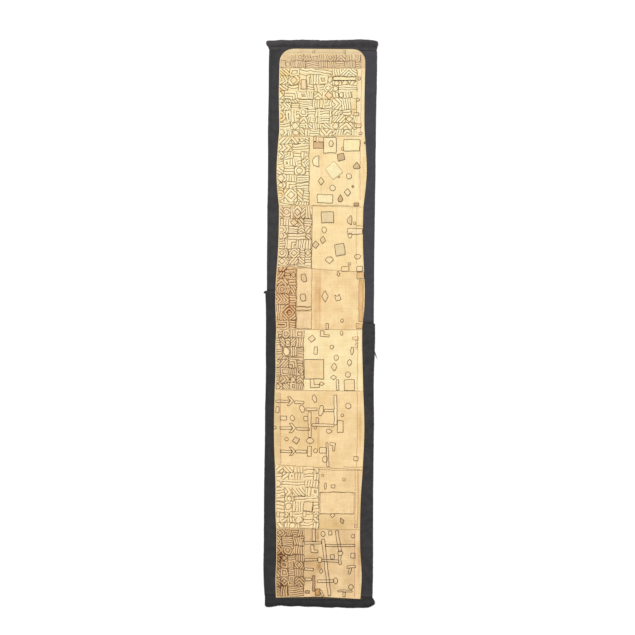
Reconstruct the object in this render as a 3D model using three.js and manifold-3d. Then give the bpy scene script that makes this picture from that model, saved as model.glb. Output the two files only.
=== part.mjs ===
// A Kuba raffia wrap skirt, laid out flat with its face up, in millimetres.
// Nine lengths of raffia cloth are sewn end to end. Patches of raffia cloth are sewn on them, and a black
// cloth border runs all round under their edges. The border ends in a fat rolled hem at each short end.
// +X runs across the cloth, +Y along it towards the heading, and +Z up from the surface that it lies on.
import * as THREE from 'three';
import { mergeVertices } from 'three/addons/utils/BufferGeometryUtils.js';
import Module from 'manifold-3d';

const wasm = await Module();
wasm.setup();

// Driving dimensions
const GAP = 0.3; // between any two pieces
const RAFFIA = 1.5; // thickness of the raffia cloth
const PATCH = 1.2; // thickness of a patch with its edge turned under
const BORDER = 1.8; // thickness of the doubled border cloth
const LAP = 12; // the raffia cloth lies this far over the border
const LAP_FLAT = 16; // it stays level this far in from its edge
const LAP_END = 34; // and is down on the surface this far in
const FIELD_INSET = 5; // a field of patchwork stops this far short of the raffia cloth's side
const CORNERS = { left: 92, right: 84 }; // radius of the two rounded corners at the heading
const HEM = { width: 20, height: 3.8 }; // the border's turned side hem
const ROLL = { width: 42, height: 8.5, edge: 3 }; // the rolled hem at each short end
const TOP_EDGE = 1838; // the raffia cloth's upper edge
const BOTTOM_EDGE = { left: -1838, middle: -1830, right: -1845 };

const RAFFIA_COLOUR = 0xd9b878;
const PALE_RAFFIA_COLOUR = 0xe6cf9a;
const BROWN_RAFFIA_COLOUR = 0xa97a45;
const GREY_RAFFIA_COLOUR = 0xc9b48c;
const FIELD_COLOUR = 0xc9a468;
const BORDER_COLOUR = 0x2a282a;

function finish(color, roughness) {
  return new THREE.MeshStandardMaterial({ color, roughness, metalness: 0 });
}

// The two sides of the border and of the raffia cloth, down the length of the skirt.
const SIDES = [
  { y: 1826, outerLeft: -354, left: -284, right: 292, outerRight: 368 },
  { y: 1700, outerLeft: -356, left: -284, right: 290, outerRight: 369 },
  { y: 1560, outerLeft: -355, left: -287, right: 287, outerRight: 368 },
  { y: 1430, outerLeft: -357, left: -285, right: 286, outerRight: 364 },
  { y: 1290, outerLeft: -359, left: -281, right: 287, outerRight: 364 },
  { y: 1225, outerLeft: -358, left: -289, right: 294, outerRight: 364 },
  { y: 1090, outerLeft: -357, left: -297, right: 303, outerRight: 362 },
  { y: 1000, outerLeft: -357, left: -301, right: 307, outerRight: 363 },
  { y: 890, outerLeft: -357, left: -294, right: 296, outerRight: 361 },
  { y: 780, outerLeft: -360, left: -281, right: 283, outerRight: 361 },
  { y: 620, outerLeft: -359, left: -281, right: 280, outerRight: 359 },
  { y: 490, outerLeft: -360, left: -285, right: 283, outerRight: 358 },
  { y: 354, outerLeft: -360, left: -293, right: 291, outerRight: 358 },
  { y: 216.1, outerLeft: -359, left: -303, right: 298, outerRight: 358 },
  { y: 215.9, outerLeft: -370, left: -303, right: 298, outerRight: 358 },
  { y: 86, outerLeft: -365, left: -301, right: 293, outerRight: 357 },
  { y: 0.1, outerLeft: -364, left: -297, right: 284, outerRight: 358 },
  { y: -0.1, outerLeft: -364, left: -297, right: 283, outerRight: 366 },
  { y: -48, outerLeft: -364, left: -295, right: 280, outerRight: 367 },
  { y: -182, outerLeft: -365, left: -300, right: 281, outerRight: 366 },
  { y: -316, outerLeft: -362, left: -297, right: 286, outerRight: 360 },
  { y: -450, outerLeft: -364, left: -302, right: 290, outerRight: 360 },
  { y: -584, outerLeft: -367, left: -305, right: 297, outerRight: 362 },
  { y: -720, outerLeft: -366, left: -306, right: 300, outerRight: 363 },
  { y: -850, outerLeft: -367, left: -304, right: 295, outerRight: 362 },
  { y: -980, outerLeft: -369, left: -297, right: 289, outerRight: 361 },
  { y: -1120, outerLeft: -370, left: -292, right: 279, outerRight: 360 },
  { y: -1254, outerLeft: -370, left: -294, right: 275, outerRight: 361 },
  { y: -1388, outerLeft: -370, left: -286, right: 274, outerRight: 361 },
  { y: -1522, outerLeft: -370, left: -285, right: 276, outerRight: 362 },
  { y: -1600, outerLeft: -372, left: -284, right: 283, outerRight: 362 },
  { y: -1680, outerLeft: -371, left: -291, right: 289, outerRight: 363 },
  { y: -1790, outerLeft: -366, left: -288, right: 283, outerRight: 361 },
  { y: -1840, outerLeft: -361, left: -285, right: 278, outerRight: 360 },
];
const JOIN_LEFT = 216; // the left border's two lengths meet here, with a step in its outer edge
const JOIN_RIGHT = 0; // and the right border's here

// The seams that join the raffia lengths, from the heading down.
const SEAMS = [
  { left: 1708, middle: 1709, right: 1710 },
  { left: 1250, middle: 1252, right: 1254 },
  { left: 788, middle: 785, right: 780 },
  { left: 384, middle: 362, right: 346 },
  { left: -42, middle: -42, right: -42 },
  { left: -448, middle: -451, right: -452 },
  { left: -949, middle: -965, right: -978 },
  { left: -1372, middle: -1378, right: -1382 },
];
const TOP_LINE = { left: TOP_EDGE, middle: TOP_EDGE, right: TOP_EDGE };
const LINES = [TOP_LINE, ...SEAMS, BOTTOM_EDGE];
const LENGTHS = [
  'raffia_heading',
  'raffia_panel_1',
  'raffia_panel_2',
  'raffia_panel_3',
  'raffia_panel_4',
  'raffia_panel_5',
  'raffia_panel_6',
  'raffia_panel_7',
  'raffia_panel_8',
];

// Where the cloth stands off the surface: soft humps, and the old fold down its middle.
const HUMPS = [
  { x: -150, y: 1640, halfWidth: 110, halfLength: 60, height: 2.5 },
  { x: 150, y: 1480, halfWidth: 120, halfLength: 190, height: 4 },
  { x: -160, y: 1400, halfWidth: 110, halfLength: 130, height: 3 },
  { x: 160, y: 1030, halfWidth: 130, halfLength: 200, height: 6 },
  { x: -170, y: 1000, halfWidth: 110, halfLength: 180, height: 4 },
  { x: 130, y: 570, halfWidth: 130, halfLength: 170, height: 4.5 },
  { x: -160, y: 590, halfWidth: 100, halfLength: 160, height: 3 },
  { x: 150, y: 150, halfWidth: 125, halfLength: 160, height: 5.5 },
  { x: -170, y: 160, halfWidth: 120, halfLength: 170, height: 4.5 },
  { x: 150, y: -250, halfWidth: 120, halfLength: 170, height: 4 },
  { x: -170, y: -250, halfWidth: 120, halfLength: 160, height: 4 },
  { x: 160, y: -700, halfWidth: 130, halfLength: 210, height: 6 },
  { x: -170, y: -700, halfWidth: 130, halfLength: 210, height: 5 },
  { x: 120, y: -1180, halfWidth: 120, halfLength: 170, height: 4 },
  { x: -150, y: -1160, halfWidth: 120, halfLength: 170, height: 3.5 },
  { x: 150, y: -1620, halfWidth: 120, halfLength: 180, height: 5 },
  { x: -150, y: -1600, halfWidth: 120, halfLength: 190, height: 3 },
];
const FOLD = { x: -25, halfWidth: 30 };
const FOLD_HEIGHTS = [
  { y: 1838, height: 0 },
  { y: 1500, height: 1 },
  { y: 1252, height: 1.5 },
  { y: 1000, height: 2.5 },
  { y: 560, height: 1.2 },
  { y: 360, height: 3 },
  { y: 150, height: 5 },
  { y: -42, height: 3.5 },
  { y: -250, height: 1.8 },
  { y: -452, height: 2 },
  { y: -700, height: 4 },
  { y: -965, height: 2.5 },
  { y: -1180, height: 1 },
  { y: -1620, height: 2.5 },
  { y: -1838, height: 0 },
];

// Reads a column of a table whose rows run from the highest y down, straight between its rows.
function column(table, name, y) {
  const next = table.findIndex((row) => row.y <= y);
  if (next === 0) return table[0][name];
  if (next < 0) return table.at(-1)[name];
  const above = table[next - 1];
  const below = table[next];
  return THREE.MathUtils.mapLinear(y, below.y, above.y, below[name], above[name]);
}

// How far a rounded corner of this radius draws a side in, at a height along the cloth.
function cornerInset(radius, y) {
  const up = Math.max(0, y - (TOP_EDGE - radius));
  return radius - Math.sqrt(Math.max(0, radius * radius - up * up));
}

function raffiaLeft(y) {
  return column(SIDES, 'left', y) + cornerInset(CORNERS.left, y);
}

function raffiaRight(y) {
  return column(SIDES, 'right', y) - cornerInset(CORNERS.right, y);
}

// A seam or end line across the cloth, through its left, middle and right heights.
function lineAt(line, x) {
  const half = 300;
  const side = x < 0 ? line.left : line.right;
  return THREE.MathUtils.lerp(line.middle, side, Math.min(1, Math.abs(x) / half));
}

// The distance in from the raffia cloth's outer edge, which has two rounded corners.
function fromEdge(x, y) {
  const left = column(SIDES, 'left', y);
  const right = column(SIDES, 'right', y);
  const across = Math.min(x - left, right - x);
  const down = TOP_EDGE - y;
  const radius = x < 0 ? CORNERS.left : CORNERS.right;
  if (across < radius && down < radius) return radius - Math.hypot(radius - across, radius - down);
  return Math.min(across, down, y - lineAt(BOTTOM_EDGE, x));
}

function hump({ x, y, halfWidth, halfLength, height }, atX, atY) {
  const r = Math.hypot((atX - x) / halfWidth, (atY - y) / halfLength);
  return r < 1 ? height * (1 - r * r) ** 2 : 0;
}

function fold(x, y) {
  const r = Math.abs(x - FOLD.x) / FOLD.halfWidth;
  return r < 1 ? column(FOLD_HEIGHTS, 'height', y) * (1 - r) : 0;
}

// The height of the raffia cloth's underside. It climbs over the border along its edge.
function lie(x, y) {
  const edge = fromEdge(x, y);
  const lap = THREE.MathUtils.clamp((LAP_END - edge) / (LAP_END - LAP_FLAT), 0, 1);
  const free = HUMPS.reduce((sum, h) => sum + hump(h, x, y), fold(x, y));
  return lap * (BORDER + GAP) + (1 - lap) * free;
}

// One closed sheet from a grid of points that each have x, y, an underside and a face.
function sheet(grid) {
  const rows = grid.length;
  const columns = grid[0].length;
  const position = [];
  for (const side of ['low', 'high']) {
    for (const row of grid) for (const p of row) position.push(p.x, p.y, p[side]);
  }
  const at = (side, row, col) => (side * rows + row) * columns + col;
  const index = [];
  const quad = (a, b, c, d) => index.push(a, b, c, a, c, d);
  for (let r = 0; r < rows - 1; r++) {
    for (let c = 0; c < columns - 1; c++) {
      quad(at(1, r, c), at(1, r + 1, c), at(1, r + 1, c + 1), at(1, r, c + 1));
      quad(at(0, r, c), at(0, r, c + 1), at(0, r + 1, c + 1), at(0, r + 1, c));
    }
  }
  for (let r = 0; r < rows - 1; r++) {
    const last = columns - 1;
    quad(at(0, r, 0), at(0, r + 1, 0), at(1, r + 1, 0), at(1, r, 0));
    quad(at(0, r + 1, last), at(0, r, last), at(1, r, last), at(1, r + 1, last));
  }
  for (let c = 0; c < columns - 1; c++) {
    const last = rows - 1;
    quad(at(0, 0, c + 1), at(0, 0, c), at(1, 0, c), at(1, 0, c + 1));
    quad(at(0, last, c), at(0, last, c + 1), at(1, last, c + 1), at(1, last, c));
  }
  const geometry = new THREE.BufferGeometry();
  geometry.setAttribute('position', new THREE.Float32BufferAttribute(position, 3));
  geometry.setIndex(index);
  return geometry;
}

function solidOf(geometry) {
  const bare = geometry.clone().deleteAttribute('normal').deleteAttribute('uv');
  const merged = mergeVertices(bare, 1e-4);
  return new wasm.Manifold(
    new wasm.Mesh({
      numProp: 3,
      vertProperties: new Float32Array(merged.attributes.position.array),
      triVerts: new Uint32Array(merged.index.array),
    }),
  );
}

function geometryOf(solid) {
  const { vertProperties, triVerts } = solid.getMesh();
  const geometry = new THREE.BufferGeometry();
  geometry.setAttribute('position', new THREE.BufferAttribute(vertProperties, 3));
  geometry.setIndex(new THREE.BufferAttribute(triVerts, 1));
  return geometry;
}

// An upright block with the given outline, tall enough to cut any sheet of the skirt.
function cutter(outline) {
  const shape = new THREE.Shape(outline.map(([x, y]) => new THREE.Vector2(x, y)));
  const depth = 40;
  const block = new THREE.ExtrudeGeometry(shape, { depth, bevelEnabled: false });
  return solidOf(block.translate(0, 0, -depth / 2));
}

const skirt = new THREE.Group();

function add(name, geometry, material) {
  const mesh = new THREE.Mesh(geometry, material);
  mesh.name = name;
  skirt.add(mesh);
}

// The raffia lengths
const ACROSS = [0.11, 0.25, 0.392, 0.451, 0.51, 0.65, 0.8, 0.9];
const DOWN = [0, 0.035, 0.16, 0.32, 0.5, 0.68, 0.84, 0.965, 1];
const DOWN_HEADING = [0, 0.035, 0.1, 0.15, 0.26, 0.42, 0.56, 0.78, 1];

// The grid of one raffia length, lifted off its own place by a height and this thick.
function lengthGrid(number, lift, thickness) {
  const upper = LINES[number];
  const lower = LINES[number + 1];
  const last = LINES.length - 2;
  const steps = number === 0 ? DOWN_HEADING : DOWN;
  const topGap = number === 0 ? 0 : GAP / 2;
  const bottomGap = number === last ? 0 : GAP / 2;
  return steps.map((step) => {
    const middleY = THREE.MathUtils.lerp(upper.middle - topGap, lower.middle + bottomGap, step);
    const left = raffiaLeft(middleY);
    const right = raffiaRight(middleY);
    const inner = ACROSS.map((t) => THREE.MathUtils.lerp(left + LAP_END, right - LAP_END, t));
    const xs = [
      left,
      left + LAP_FLAT,
      left + LAP_END,
      ...inner,
      right - LAP_END,
      right - LAP_FLAT,
      right,
    ];
    return xs.map((x) => {
      const from = lineAt(upper, x) - topGap;
      const to = lineAt(lower, x) + bottomGap;
      const y = THREE.MathUtils.lerp(from, to, step);
      const low = lie(x, y) + lift;
      return { x, y, low, high: low + thickness };
    });
  });
}

LENGTHS.forEach((name, number) => {
  add(name, sheet(lengthGrid(number, 0, RAFFIA)), finish(RAFFIA_COLOUR, 0.85));
});

// A piece of cloth sewn on a raffia length. It has the length's own folds, one or two layers up.
function sewnOn(name, number, layer, outline, material) {
  const lift = RAFFIA + GAP + (layer - 1) * (PATCH + GAP);
  const raised = solidOf(sheet(lengthGrid(number, lift, PATCH)));
  add(name, geometryOf(raised.intersect(cutter(outline))), material);
}

// The fields of close patchwork, down the left side of most lengths. Each is cut to its own right edge.
const FIELDS = [
  { name: 'field_heading', length: 0, right: 262, fromTop: 38, fromBottom: 4 },
  { name: 'field_1', length: 1, right: 236, fromTop: 5, fromBottom: 5 },
  { name: 'field_2', length: 2, right: -80, fromTop: 5, fromBottom: 5 },
  { name: 'field_3', length: 3, right: -62, fromTop: 5, fromBottom: 5 },
  { name: 'field_4', length: 4, right: -162, fromTop: 5, fromBottom: 5 },
  { name: 'field_5', length: 5, right: -110, fromTop: 5, fromBottom: 5 },
  { name: 'field_7', length: 7, right: -2, fromTop: 5, fromBottom: 5 },
  { name: 'field_8', length: 8, right: -98, fromTop: 5, fromBottom: 6 },
];
const FIELD_STEPS = 6;

for (const { name, length, right, fromTop, fromBottom } of FIELDS) {
  const top = (x) => lineAt(LINES[length], x) - fromTop;
  const bottom = (x) => lineAt(LINES[length + 1], x) + fromBottom;
  const outline = [];
  for (let step = 0; step <= FIELD_STEPS; step++) {
    const y = THREE.MathUtils.lerp(top(-290), bottom(-290), step / FIELD_STEPS);
    outline.push([raffiaLeft(y) + FIELD_INSET, y]);
  }
  if (right > 0) outline.push([0, bottom(0)]);
  outline.push([right, bottom(right)]);
  outline.push([right, top(right)]);
  sewnOn(name, length, 1, outline, finish(FIELD_COLOUR, 0.9));
}

// The forms that patches are cut to, in a square from -0.5 to 0.5 each way.
const FORMS = {
  block: [[-0.5, -0.5], [0.5, -0.5], [0.5, 0.5], [-0.5, 0.5]],
  lozenge: [[0, -0.5], [0.5, 0], [0, 0.5], [-0.5, 0]],
  disc: arc(0, 2 * Math.PI, 12),
  halfDisc: [[0.5, -0.5], [0.5, 0.5], [-0.12, 0.44], [-0.45, 0.18], [-0.5, -0.1], [-0.35, -0.36], [0.1, -0.44]],
  drop: [[0, 0.5], [-0.4, 0.06], [-0.5, -0.2], [-0.25, -0.48], [0.25, -0.48], [0.5, -0.2], [0.4, 0.06]],
  leaf: [[0.2, 0.5], [-0.2, 0.28], [-0.5, 0.02], [-0.26, -0.3], [0.28, -0.5], [0.46, -0.14], [0.44, 0.16]],
  heart: [[-0.05, 0.5], [-0.5, -0.12], [-0.36, -0.42], [0.1, -0.5], [0.5, -0.3], [0.3, 0.12]],
  house: [[-0.5, 0], [-0.18, 0.46], [0.24, 0.5], [0.5, 0.02], [0, -0.5]],
};

function arc(from, to, steps) {
  const points = [];
  for (let step = 0; step < steps; step++) {
    const angle = from + ((to - from) * step) / steps;
    points.push([Math.cos(angle) / 2, Math.sin(angle) / 2]);
  }
  return points;
}

function placed({ form, x, y, width, height, turn = 0 }) {
  const angle = THREE.MathUtils.degToRad(turn);
  return FORMS[form].map(([u, v]) => {
    const across = u * width;
    const up = v * height;
    const turnedX = x + across * Math.cos(angle) - up * Math.sin(angle);
    const turnedY = y + across * Math.sin(angle) + up * Math.cos(angle);
    return [turnedX, turnedY];
  });
}

// The larger patches. Each list is for the raffia length of that number, counted from the heading as 0.
const PATCHES = {
  1: [
    { name: 'pale_block', layer: 2, form: 'block', x: -122, y: 1600, width: 32, height: 62, cloth: 'pale' },
    { name: 'long_bar', layer: 2, form: 'block', x: 152, y: 1640, width: 150, height: 22, cloth: 'pale' },
    { name: 'lozenge', layer: 2, form: 'lozenge', x: 48, y: 1527, width: 52, height: 54, cloth: 'pale' },
  ],
  2: [
    { name: 'brown_block', form: 'block', x: -20, y: 1193, width: 67, height: 43, cloth: 'brown' },
    { name: 'tall_block', form: 'block', x: 57, y: 1194, width: 84, height: 104, cloth: 'pale' },
    { name: 'wide_block', form: 'block', x: 204, y: 1194, width: 106, height: 76, cloth: 'pale' },
    { name: 'hatched', form: 'block', x: 131, y: 1114, width: 44, height: 44, turn: 12, cloth: 'brown' },
    { name: 'half_disc', form: 'halfDisc', x: -37, y: 1085, width: 40, height: 74, cloth: 'pale' },
    { name: 'faint_block', form: 'block', x: 84, y: 1024, width: 82, height: 92, turn: 38, cloth: 'pale' },
    { name: 'heart', form: 'heart', x: 238, y: 1058, width: 48, height: 46, cloth: 'brown' },
    { name: 'lozenge_left', form: 'lozenge', x: -1, y: 952, width: 40, height: 52, cloth: 'pale' },
    { name: 'disc_upper', form: 'disc', x: 185, y: 987, width: 36, height: 36, cloth: 'pale' },
    { name: 'disc_lower', form: 'disc', x: 76, y: 907, width: 36, height: 38, cloth: 'pale' },
    { name: 'lozenge_right', form: 'lozenge', x: 177, y: 878, width: 44, height: 52, cloth: 'pale' },
    { name: 'drop', form: 'drop', x: 129, y: 838, width: 32, height: 50, cloth: 'brown' },
    { name: 'low_block', form: 'block', x: 27, y: 835, width: 104, height: 54, turn: -2, cloth: 'pale' },
  ],
  3: [
    { name: 'grey_block', form: 'block', x: 44, y: 711, width: 82, height: 74, cloth: 'grey' },
    { name: 'leaf', form: 'leaf', x: 193, y: 693, width: 34, height: 66, cloth: 'grey' },
    { name: 'edge_bar', form: 'block', x: 228, y: 617, width: 98, height: 36, cloth: 'pale' },
    { name: 'lozenge_mid', form: 'lozenge', x: 14, y: 559, width: 40, height: 50, turn: -8, cloth: 'pale' },
    { name: 'lozenge_left', form: 'lozenge', x: -35, y: 526, width: 46, height: 50, turn: 6, cloth: 'pale' },
    { name: 'grey_tilted', form: 'block', x: 129, y: 494, width: 62, height: 76, turn: 9, cloth: 'grey' },
    { name: 'house', form: 'house', x: 57, y: 424, width: 56, height: 44, cloth: 'pale' },
  ],
  4: [
    { name: 'tall', form: 'block', x: -108, y: 240, width: 98, height: 256, cloth: 'pale' },
    { name: 'low', form: 'block', x: -108, y: 22, width: 98, height: 116, cloth: 'raffia' },
    { name: 'lozenge', form: 'lozenge', x: 30, y: 180, width: 44, height: 74, cloth: 'pale' },
    { name: 'edge_strip', form: 'block', x: 271, y: 152, width: 28, height: 280, cloth: 'brown' },
  ],
  5: [
    { name: 'big_block', form: 'block', x: -40, y: -308, width: 130, height: 130, cloth: 'raffia' },
    { name: 'tilted', form: 'lozenge', x: -56, y: -103, width: 50, height: 48, turn: -6, cloth: 'pale' },
    { name: 'right_block', form: 'block', x: 197, y: -413, width: 70, height: 72, cloth: 'raffia' },
  ],
  6: [
    { name: 'tall_bar', form: 'block', x: 105, y: -580, width: 18, height: 200, turn: 1, cloth: 'pale' },
    { name: 'upright', form: 'block', x: 138, y: -689, width: 38, height: 78, cloth: 'pale' },
    { name: 'stem', form: 'block', x: -68, y: -678, width: 20, height: 172, turn: 1, cloth: 'raffia' },
  ],
  7: [
    { name: 'band', form: 'block', x: 119, y: -1203, width: 226, height: 142, cloth: 'pale' },
  ],
  8: [
    { name: 'leaning_bar', form: 'block', x: 50, y: -1634, width: 20, height: 380, turn: 7, cloth: 'raffia' },
  ],
};
const PATCH_CLOTHS = {
  raffia: finish(RAFFIA_COLOUR, 0.85),
  pale: finish(PALE_RAFFIA_COLOUR, 0.85),
  brown: finish(BROWN_RAFFIA_COLOUR, 0.85),
  grey: finish(GREY_RAFFIA_COLOUR, 0.85),
};

for (const [number, patches] of Object.entries(PATCHES)) {
  for (const patch of patches) {
    const name = `patch_${number}_${patch.name}`;
    sewnOn(name, Number(number), patch.layer ?? 1, placed(patch), PATCH_CLOTHS[patch.cloth]);
  }
}

// The border's side strips. Their inner margin is under the raffia cloth, and their outer edge is a hem.
const STRIP_STEP = 62; // between two sections of a strip
const CORNER_YS = [1782, 1800, 1816]; // with more of them round the heading's corners
const RIPPLE = { height: 1.3, long: 410, short: 173 };

// How far the free outer part of a side strip stands off the surface.
function ripple(y, phase) {
  const long = Math.sin((2 * Math.PI * y) / RIPPLE.long + phase);
  const short = 0.6 * Math.sin((2 * Math.PI * y) / RIPPLE.short);
  return Math.max(0, long + short) * RIPPLE.height;
}

function sideStrip(name, fromY, toY, { outer: outerColumn, raffia: raffiaSide, inward }) {
  const ys = new Set([fromY, toY]);
  for (let y = fromY - STRIP_STEP; y > toY + STRIP_STEP / 2; y -= STRIP_STEP) ys.add(y);
  for (const y of CORNER_YS) if (y < fromY && y > toY) ys.add(y);
  const sections = [...ys].sort((a, b) => a - b).map((y) => {
    const outer = column(SIDES, outerColumn, y);
    const raffia = raffiaSide(y);
    const up = ripple(y, inward);
    const section = [
      { x: outer, low: up, high: up + BORDER + 0.6 },
      { x: outer + inward * HEM.width * 0.45, low: up, high: up + HEM.height },
      { x: outer + inward * HEM.width, low: up * 0.8, high: up * 0.8 + BORDER },
      { x: raffia - inward * 14, low: 0, high: BORDER },
      { x: raffia + inward * LAP, low: 0, high: BORDER },
    ];
    return section.map((p) => ({ ...p, y })).sort((a, b) => a.x - b.x);
  });
  add(name, sheet(sections.reverse()), finish(BORDER_COLOUR, 0.95));
}

const STRIP_TOP = TOP_EDGE - LAP - GAP;
const stripBottom = (x) => lineAt(BOTTOM_EDGE, x) + LAP + GAP;
const LEFT_OUTER_X = -320;
const RIGHT_OUTER_X = 320;
const LEFT = { outer: 'outerLeft', raffia: raffiaLeft, inward: 1 };
const RIGHT = { outer: 'outerRight', raffia: raffiaRight, inward: -1 };
sideStrip('border_left_upper', STRIP_TOP, JOIN_LEFT + GAP / 2, LEFT);
sideStrip('border_left_lower', JOIN_LEFT - GAP / 2, stripBottom(LEFT_OUTER_X), LEFT);
sideStrip('border_right_upper', STRIP_TOP, JOIN_RIGHT + GAP / 2, RIGHT);
sideStrip('border_right_lower', JOIN_RIGHT - GAP / 2, stripBottom(RIGHT_OUTER_X), RIGHT);

// The border's end strips, each with its fat rolled hem. The roll's ends stick out past the sides as ears.
const TOP_ROLL = [
  { x: -374, inner: 1866, outer: 1885 },
  { x: -366, inner: 1856, outer: 1891 },
  { x: -357, inner: 1842, outer: 1892 },
  { x: -353, inner: 1826, outer: 1892 },
  { x: -320, inner: 1826, outer: 1893 },
  { x: -280, inner: 1826, outer: 1898 },
  { x: -240, inner: 1826, outer: 1898 },
  { x: -200, inner: 1826, outer: 1896 },
  { x: -160, inner: 1826, outer: 1899 },
  { x: -120, inner: 1826, outer: 1901 },
  { x: -80, inner: 1826, outer: 1898 },
  { x: -40, inner: 1826, outer: 1899 },
  { x: 0, inner: 1826, outer: 1895 },
  { x: 40, inner: 1826, outer: 1898 },
  { x: 80, inner: 1826, outer: 1897 },
  { x: 120, inner: 1826, outer: 1899 },
  { x: 160, inner: 1826, outer: 1901 },
  { x: 200, inner: 1826, outer: 1900 },
  { x: 240, inner: 1826, outer: 1905 },
  { x: 280, inner: 1826, outer: 1903.5 },
  { x: 320, inner: 1826, outer: 1902 },
  { x: 366, inner: 1826, outer: 1894 },
  { x: 369, inner: 1846, outer: 1892 },
  { x: 374, inner: 1864, outer: 1887 },
];
const BOTTOM_ROLL = [
  { x: -360, inner: -1826, outer: -1892 },
  { x: -350, inner: -1826, outer: -1902 },
  { x: -320, inner: -1826, outer: -1903 },
  { x: -290, inner: -1826, outer: -1896 },
  { x: -260, inner: -1826, outer: -1890 },
  { x: -240, inner: -1826, outer: -1892 },
  { x: -200, inner: -1824, outer: -1897 },
  { x: -160, inner: -1822, outer: -1897 },
  { x: -120, inner: -1820.8, outer: -1893 },
  { x: -100, inner: -1820, outer: -1899 },
  { x: -60, inner: -1819.2, outer: -1900 },
  { x: 0, inner: -1818, outer: -1897 },
  { x: 40, inner: -1820, outer: -1904 },
  { x: 80, inner: -1822, outer: -1904 },
  { x: 110, inner: -1823.5, outer: -1900 },
  { x: 150, inner: -1825.5, outer: -1903 },
  { x: 190, inner: -1829, outer: -1905 },
  { x: 240, inner: -1833, outer: -1904 },
  { x: 300, inner: -1833, outer: -1905 },
  { x: 338, inner: -1833, outer: -1900 },
  { x: 360, inner: -1833, outer: -1890 },
  { x: 375, inner: -1856, outer: -1878 },
];
const ROLL_SECTION = [
  { out: 1, high: BORDER },
  { out: 0.84, high: 0.78 * ROLL.height },
  { out: 0.5, high: ROLL.height },
  { out: 0.18, high: 0.8 * ROLL.height },
  { out: 0, high: ROLL.edge },
];

function endStrip(name, stations) {
  const sections = stations.map(({ x, inner, outer }, number) => {
    const outward = Math.sign(outer - inner);
    const width = Math.min(ROLL.width, Math.abs(outer - inner) - 1);
    const plump = 1 + 0.08 * Math.sin(number * 2.4);
    const section = ROLL_SECTION.map(({ out, high }) => {
      const y = outer - outward * width * out;
      return { x, y, low: 0, high: high > BORDER ? high * plump : high };
    });
    return [{ x, y: inner, low: 0, high: BORDER }, ...section];
  });
  const down = sections[0][0].y > sections[0].at(-1).y;
  add(name, sheet(down ? sections.reverse() : sections), finish(BORDER_COLOUR, 0.95));
}

endStrip('border_top', TOP_ROLL);
endStrip('border_bottom', BOTTOM_ROLL);

// Two tufts of loose thread, where the border's hem has come undone.
const TUFTS = [
  { name: 'thread_left', x: -370.1, y: 208, tipX: -384, tipY: 202 },
  { name: 'thread_right', x: 366.2, y: -196, tipX: 384, tipY: -240 },
];
const TUFT = { root: 9, tip: 1.5, height: 2.4 };

for (const { name, x, y, tipX, tipY } of TUFTS) {
  const root = x + Math.sign(x) * GAP;
  const outline = [
    [root, y + TUFT.root],
    [root, y - TUFT.root],
    [tipX, tipY - TUFT.tip],
    [tipX, tipY + TUFT.tip],
  ];
  const shape = new THREE.Shape(outline.map(([px, py]) => new THREE.Vector2(px, py)));
  const geometry = new THREE.ExtrudeGeometry(shape, { depth: TUFT.height, bevelEnabled: false });
  add(name, geometry, finish(BORDER_COLOUR, 0.95));
}

export default skirt;
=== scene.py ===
"""A Kuba raffia wrap skirt, laid out flat with its face up."""

import math
import random

import bmesh
import bpy
import numpy as np
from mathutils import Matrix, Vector, noise
from mathutils.bvhtree import BVHTree


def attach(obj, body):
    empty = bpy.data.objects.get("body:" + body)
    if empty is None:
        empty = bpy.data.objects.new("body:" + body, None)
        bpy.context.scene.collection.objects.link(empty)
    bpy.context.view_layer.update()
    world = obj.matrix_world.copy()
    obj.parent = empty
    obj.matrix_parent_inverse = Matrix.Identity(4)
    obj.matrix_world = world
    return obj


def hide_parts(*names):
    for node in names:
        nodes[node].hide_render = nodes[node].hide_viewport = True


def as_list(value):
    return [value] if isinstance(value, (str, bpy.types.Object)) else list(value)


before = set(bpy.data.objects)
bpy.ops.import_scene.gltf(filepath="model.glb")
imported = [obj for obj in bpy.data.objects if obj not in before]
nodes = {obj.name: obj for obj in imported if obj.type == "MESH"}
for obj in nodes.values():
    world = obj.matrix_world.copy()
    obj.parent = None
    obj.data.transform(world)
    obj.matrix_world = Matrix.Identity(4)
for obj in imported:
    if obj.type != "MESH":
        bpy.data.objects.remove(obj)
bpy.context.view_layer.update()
bpy.ops.object.select_all(action="DESELECT")

# Camera. The skirt is seen from straight above, as it lies, with its heading at the top of the picture.
# It is turned a little, so that the heading leans to the right.
bpy.ops.object.camera_add(location=(-0.019, 0.039, 10.045), rotation=(0, 0, math.radians(0.35)))
camera = bpy.context.object
camera.data.lens = 85
camera.data.clip_end = 60
bpy.context.scene.camera = camera

# The surface and the light. The skirt lies on a wide pale surface. Broad soft light comes from
# above the heading on the left, so that swells, seams and stitches cast only faint shade.
bpy.ops.mesh.primitive_plane_add(size=40, location=(0, 0, -0.0003))
surface = bpy.context.object
surface.name = "surface"
paper = bpy.data.materials.new("pale_surface")
paper.use_nodes = True
paper.node_tree.nodes["Principled BSDF"].inputs["Base Color"].default_value = (0.86, 0.86, 0.86, 1)
paper.node_tree.nodes["Principled BSDF"].inputs["Roughness"].default_value = 0.9
surface.data.materials.append(paper)

bpy.ops.object.light_add(type="SUN", rotation=(math.radians(-38), math.radians(-34), 0))
key_light = bpy.context.object
key_light.data.energy = 3.1
key_light.data.angle = math.radians(30)
key_light.data.color = (1.0, 0.985, 0.96)
sky = bpy.data.worlds.new("soft_sky")
sky.use_nodes = True
sky.node_tree.nodes["Background"].inputs["Color"].default_value = (1.0, 1.0, 1.0, 1)
sky.node_tree.nodes["Background"].inputs["Strength"].default_value = 0.62
bpy.context.scene.world = sky
bpy.context.scene.view_settings.view_transform = "Standard"
LIGHT_ON_FLAT_CLOTH = 1.24

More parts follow.
